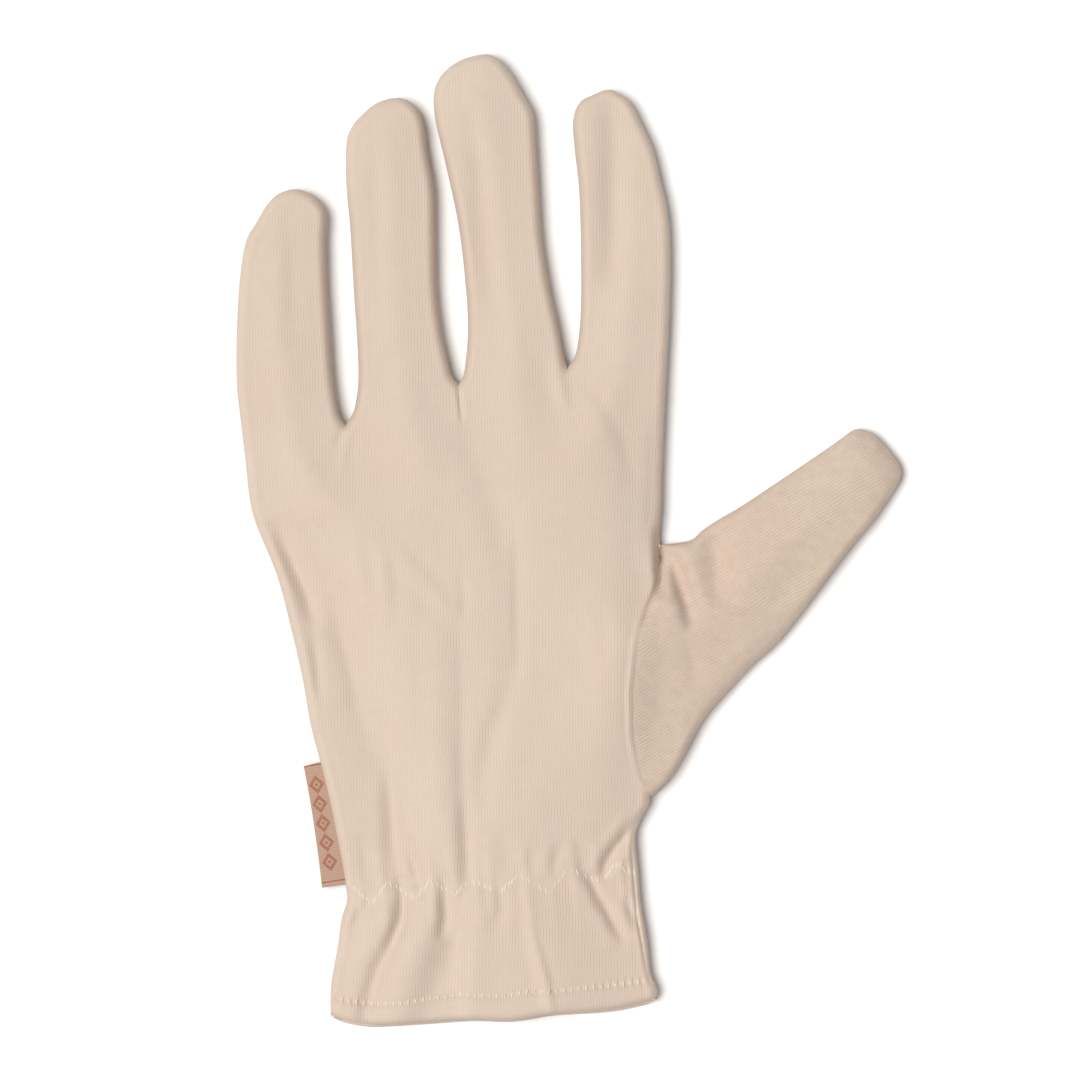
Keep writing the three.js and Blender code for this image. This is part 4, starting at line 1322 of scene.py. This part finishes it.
@dataclass
class ThreadWork:
    """Stitches of sewing thread that show on the outside."""

    thickness: float = 0.18  # half the thread's thickness
    sides: int = 6
    girth: tuple[float, ...] = (0.5, 0.85, 1, 1, 1, 0.85, 0.5)  # along a stitch, as shares of the thickness
    leg: tuple[float, ...] = (0.12, 0.31, 0.5, 0.69, 0.88)  # the zigzag's stitches along one of its legs
    half: Point = (0.32, 0.95)  # half of such a stitch, which the gathered cloth turns upright
    stray: float = 0.2
    rise: Point = (-0.2, 0.12)
    tick: tuple[Point, Point] = ((0.1, 0.5), (0.9, 1.4))  # a stitch of the hem's row, across and up the glove
    tick_rise: Point = (0.0, 0.12)

    def cord(self, start: Array, end: Array, on_back: bool, rise: float) -> Array:
        """Points of one stitch, whose ends dive into the cloth.

        Args:
            start: where it comes up, in plan.
            end: where it goes down.
            on_back: True on the back, False on the palm.
            rise: how far its middle stands off the cloth.

        Returns:
            One ring of points after the other.
        """
        shares = np.linspace(0, 1, len(self.girth))
        places = start + (end - start) * shares[:, None]
        bow = np.sin(math.pi * shares) ** 0.6 * (rise + self.thickness) - self.thickness
        if on_back:
            height = RELIEF.back(places) + bow
        else:
            height = np.maximum(RELIEF.palm(places) - bow, self.thickness + 0.02)
        spine = np.column_stack([places, height])
        x, y = unit(end - start)
        angles = np.linspace(0, 2 * math.pi, self.sides, endpoint=False)[:, None]
        ring = np.cos(angles) * np.array([-y, x, 0.0]) + np.sin(angles) * np.array([0.0, 0.0, 1.0])
        return (spine[:, None] + ring * (self.thickness * np.array(self.girth))[:, None, None]).reshape(-1, 3)

    def sew(self, name: str, runs: Sequence[tuple[Array, Array, bool, float]], finish: SpunThread) -> Piece:
        """Join many stitches into one piece.

        Args:
            name: the piece's name.
            runs: start, end, side and rise of each stitch.
            finish: the thread.

        Returns:
            The new piece.
        """
        number = np.arange(len(self.girth) * self.sides).reshape(-1, self.sides)
        round_it = grid_quads(np.column_stack([number, number[:, 0]]).T)
        one = [*round_it.tolist(), number[0].tolist(), number[-1, ::-1].tolist()]
        faces = [[k + run * number.size for k in face] for run in range(len(runs)) for face in one]
        piece = place_mesh(name, np.vstack([self.cord(*run) for run in runs]), faces, finish.material())
        return piece

    def build_zigzag(self) -> Piece:
        """Sew the three-step zigzag that holds the elastic; where the cloth gathers, its stitches sink in.

        Returns:
            The new piece.
        """
        runs, rng, corners = [], np.random.default_rng(3), np.array(ZIGZAG)
        for on_back in (True, False):
            for a, b in zip(corners, corners[1:]):
                half = np.array(self.half) * (1, np.sign(b[1] - a[1]))
                for share in self.leg:
                    middle = a + (b - a) * share + rng.uniform(-self.stray, self.stray, 2)
                    runs.append((middle - half, middle + half, on_back, rng.uniform(*self.rise)))
        return self.sew("elastic_zigzag_thread", runs, SpunThread("white_spun_thread", "#efe5d9"))

    def build_hem_row(self) -> Piece:
        """Sew the hem's row: short slanting ticks where the machine caught the outer layer.

        Returns:
            The new piece.
        """
        runs, rng = [], np.random.default_rng(7)
        across = np.arange(HEM_ROW[0, 0] + HEM_TICK, HEM_ROW[-2, 0], HEM_TICK)
        row = np.column_stack([across, hem_lines(across)[1]])
        for on_back in (True, False):
            for place in row:
                tick = np.array([rng.uniform(*size) for size in self.tick]) / 2
                runs.append((place - tick, place + tick, on_back, rng.uniform(*self.tick_rise)))
        return self.sew("hem_stitch_thread", runs, SpunThread("cream_spun_thread", "#f5eadc"))


@dataclass
class Studio:
    """The white surface, the high soft light from the left and the camera straight above."""

    camera_height: float = 1.6  # metres, as the next two
    seam_level: float = 0.004
    floor_size: float = 6.0
    floor_level: float = -0.05 * MM  # just below the cloth that touches it
    floor_colour: str = "#f9fbfe"
    sky: float = 0.31
    sky_colour: str = "#fffaf4"
    key: float = 2.8
    key_colour: str = "#fffbf6"
    key_height: float = 70.0  # degrees above the table
    key_spread: float = 32.0  # degrees, as a broad window or soft box gives

    def build(self) -> None:
        """Set up the camera, the lights and the floor."""
        self.build_camera()
        self.build_lights()
        self.build_floor()
        bpy.context.scene.view_settings.view_transform = "Standard"

    def placed(self, name: str, data: Any) -> Piece:
        """Put an object into the scene.

        Args:
            name: its name.
            data: its mesh, light or lens.

        Returns:
            The new object.
        """
        item = bpy.data.objects.new(name, data)
        bpy.context.scene.collection.objects.link(item)
        return item

    def build_camera(self) -> None:
        """The camera above the picture's middle, whose picture spans the stated width."""
        lens = bpy.data.cameras.new("above")
        lens.sensor_width = 36.0
        lens.lens = lens.sensor_width * (self.camera_height - self.seam_level) / (IMAGE_WIDTH_MM * MM)
        lens.clip_end = 20.0
        camera = self.placed("above", lens)
        camera.location = (*(c * MM for c in VIEW_CENTRE), self.camera_height)
        bpy.context.scene.camera = camera

    def build_lights(self) -> None:
        """The white room and the broad window."""
        world = bpy.data.worlds.new("white_room")
        world.use_nodes = True
        sky = world.node_tree.nodes["Background"]
        sky.inputs["Color"].default_value = linear(self.sky_colour)
        sky.inputs["Strength"].default_value = self.sky
        bpy.context.scene.world = world
        window = bpy.data.lights.new("window_light", "SUN")
        window.energy = self.key
        window.angle = math.radians(self.key_spread)
        window.color = linear(self.key_colour)[:3]
        light = self.placed("window_light", window)
        direction = Vector((1.0, 0.0, -math.tan(math.radians(self.key_height))))
        light.rotation_euler = direction.to_track_quat("-Z", "Y").to_euler()
        light.location = -direction

    def build_floor(self) -> None:
        """The white table."""
        half = self.floor_size / 2
        corners = [(x * half, y * half, self.floor_level) for x, y in ((-1, -1), (1, -1), (1, 1), (-1, 1))]
        mesh = bpy.data.meshes.new("white_table")
        mesh.from_pydata(corners, [], [(0, 1, 2, 3)])
        paper = {"Base Color": linear(self.floor_colour), "Roughness": 0.9, "Specular IOR Level": 0.1}
        mesh.materials.append(Wiring("white_paper").finished(paper))
        floor = self.placed("white_table", mesh)


def rows(box: Any) -> list[list[float]]:
    """A box as plain lists of numbers."""
    return [[float(value) for value in corner] for corner in box]


def main() -> None:
    """Build the glove and its surroundings in order."""
    logging.basicConfig(level=logging.INFO, format="%(name)s: %(message)s")
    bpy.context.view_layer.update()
    LOG.info("studio")
    Studio().build()
    panels = Panels(ClothCut())
    panels.build()
    tape = panels.build_elastic()
    LOG.info("label")
    SideLabel().build()
    threads = ThreadWork()
    threads.build_zigzag()
    threads.build_hem_row()
    bpy.context.view_layer.update()


if __name__ == "__main__":
    main()
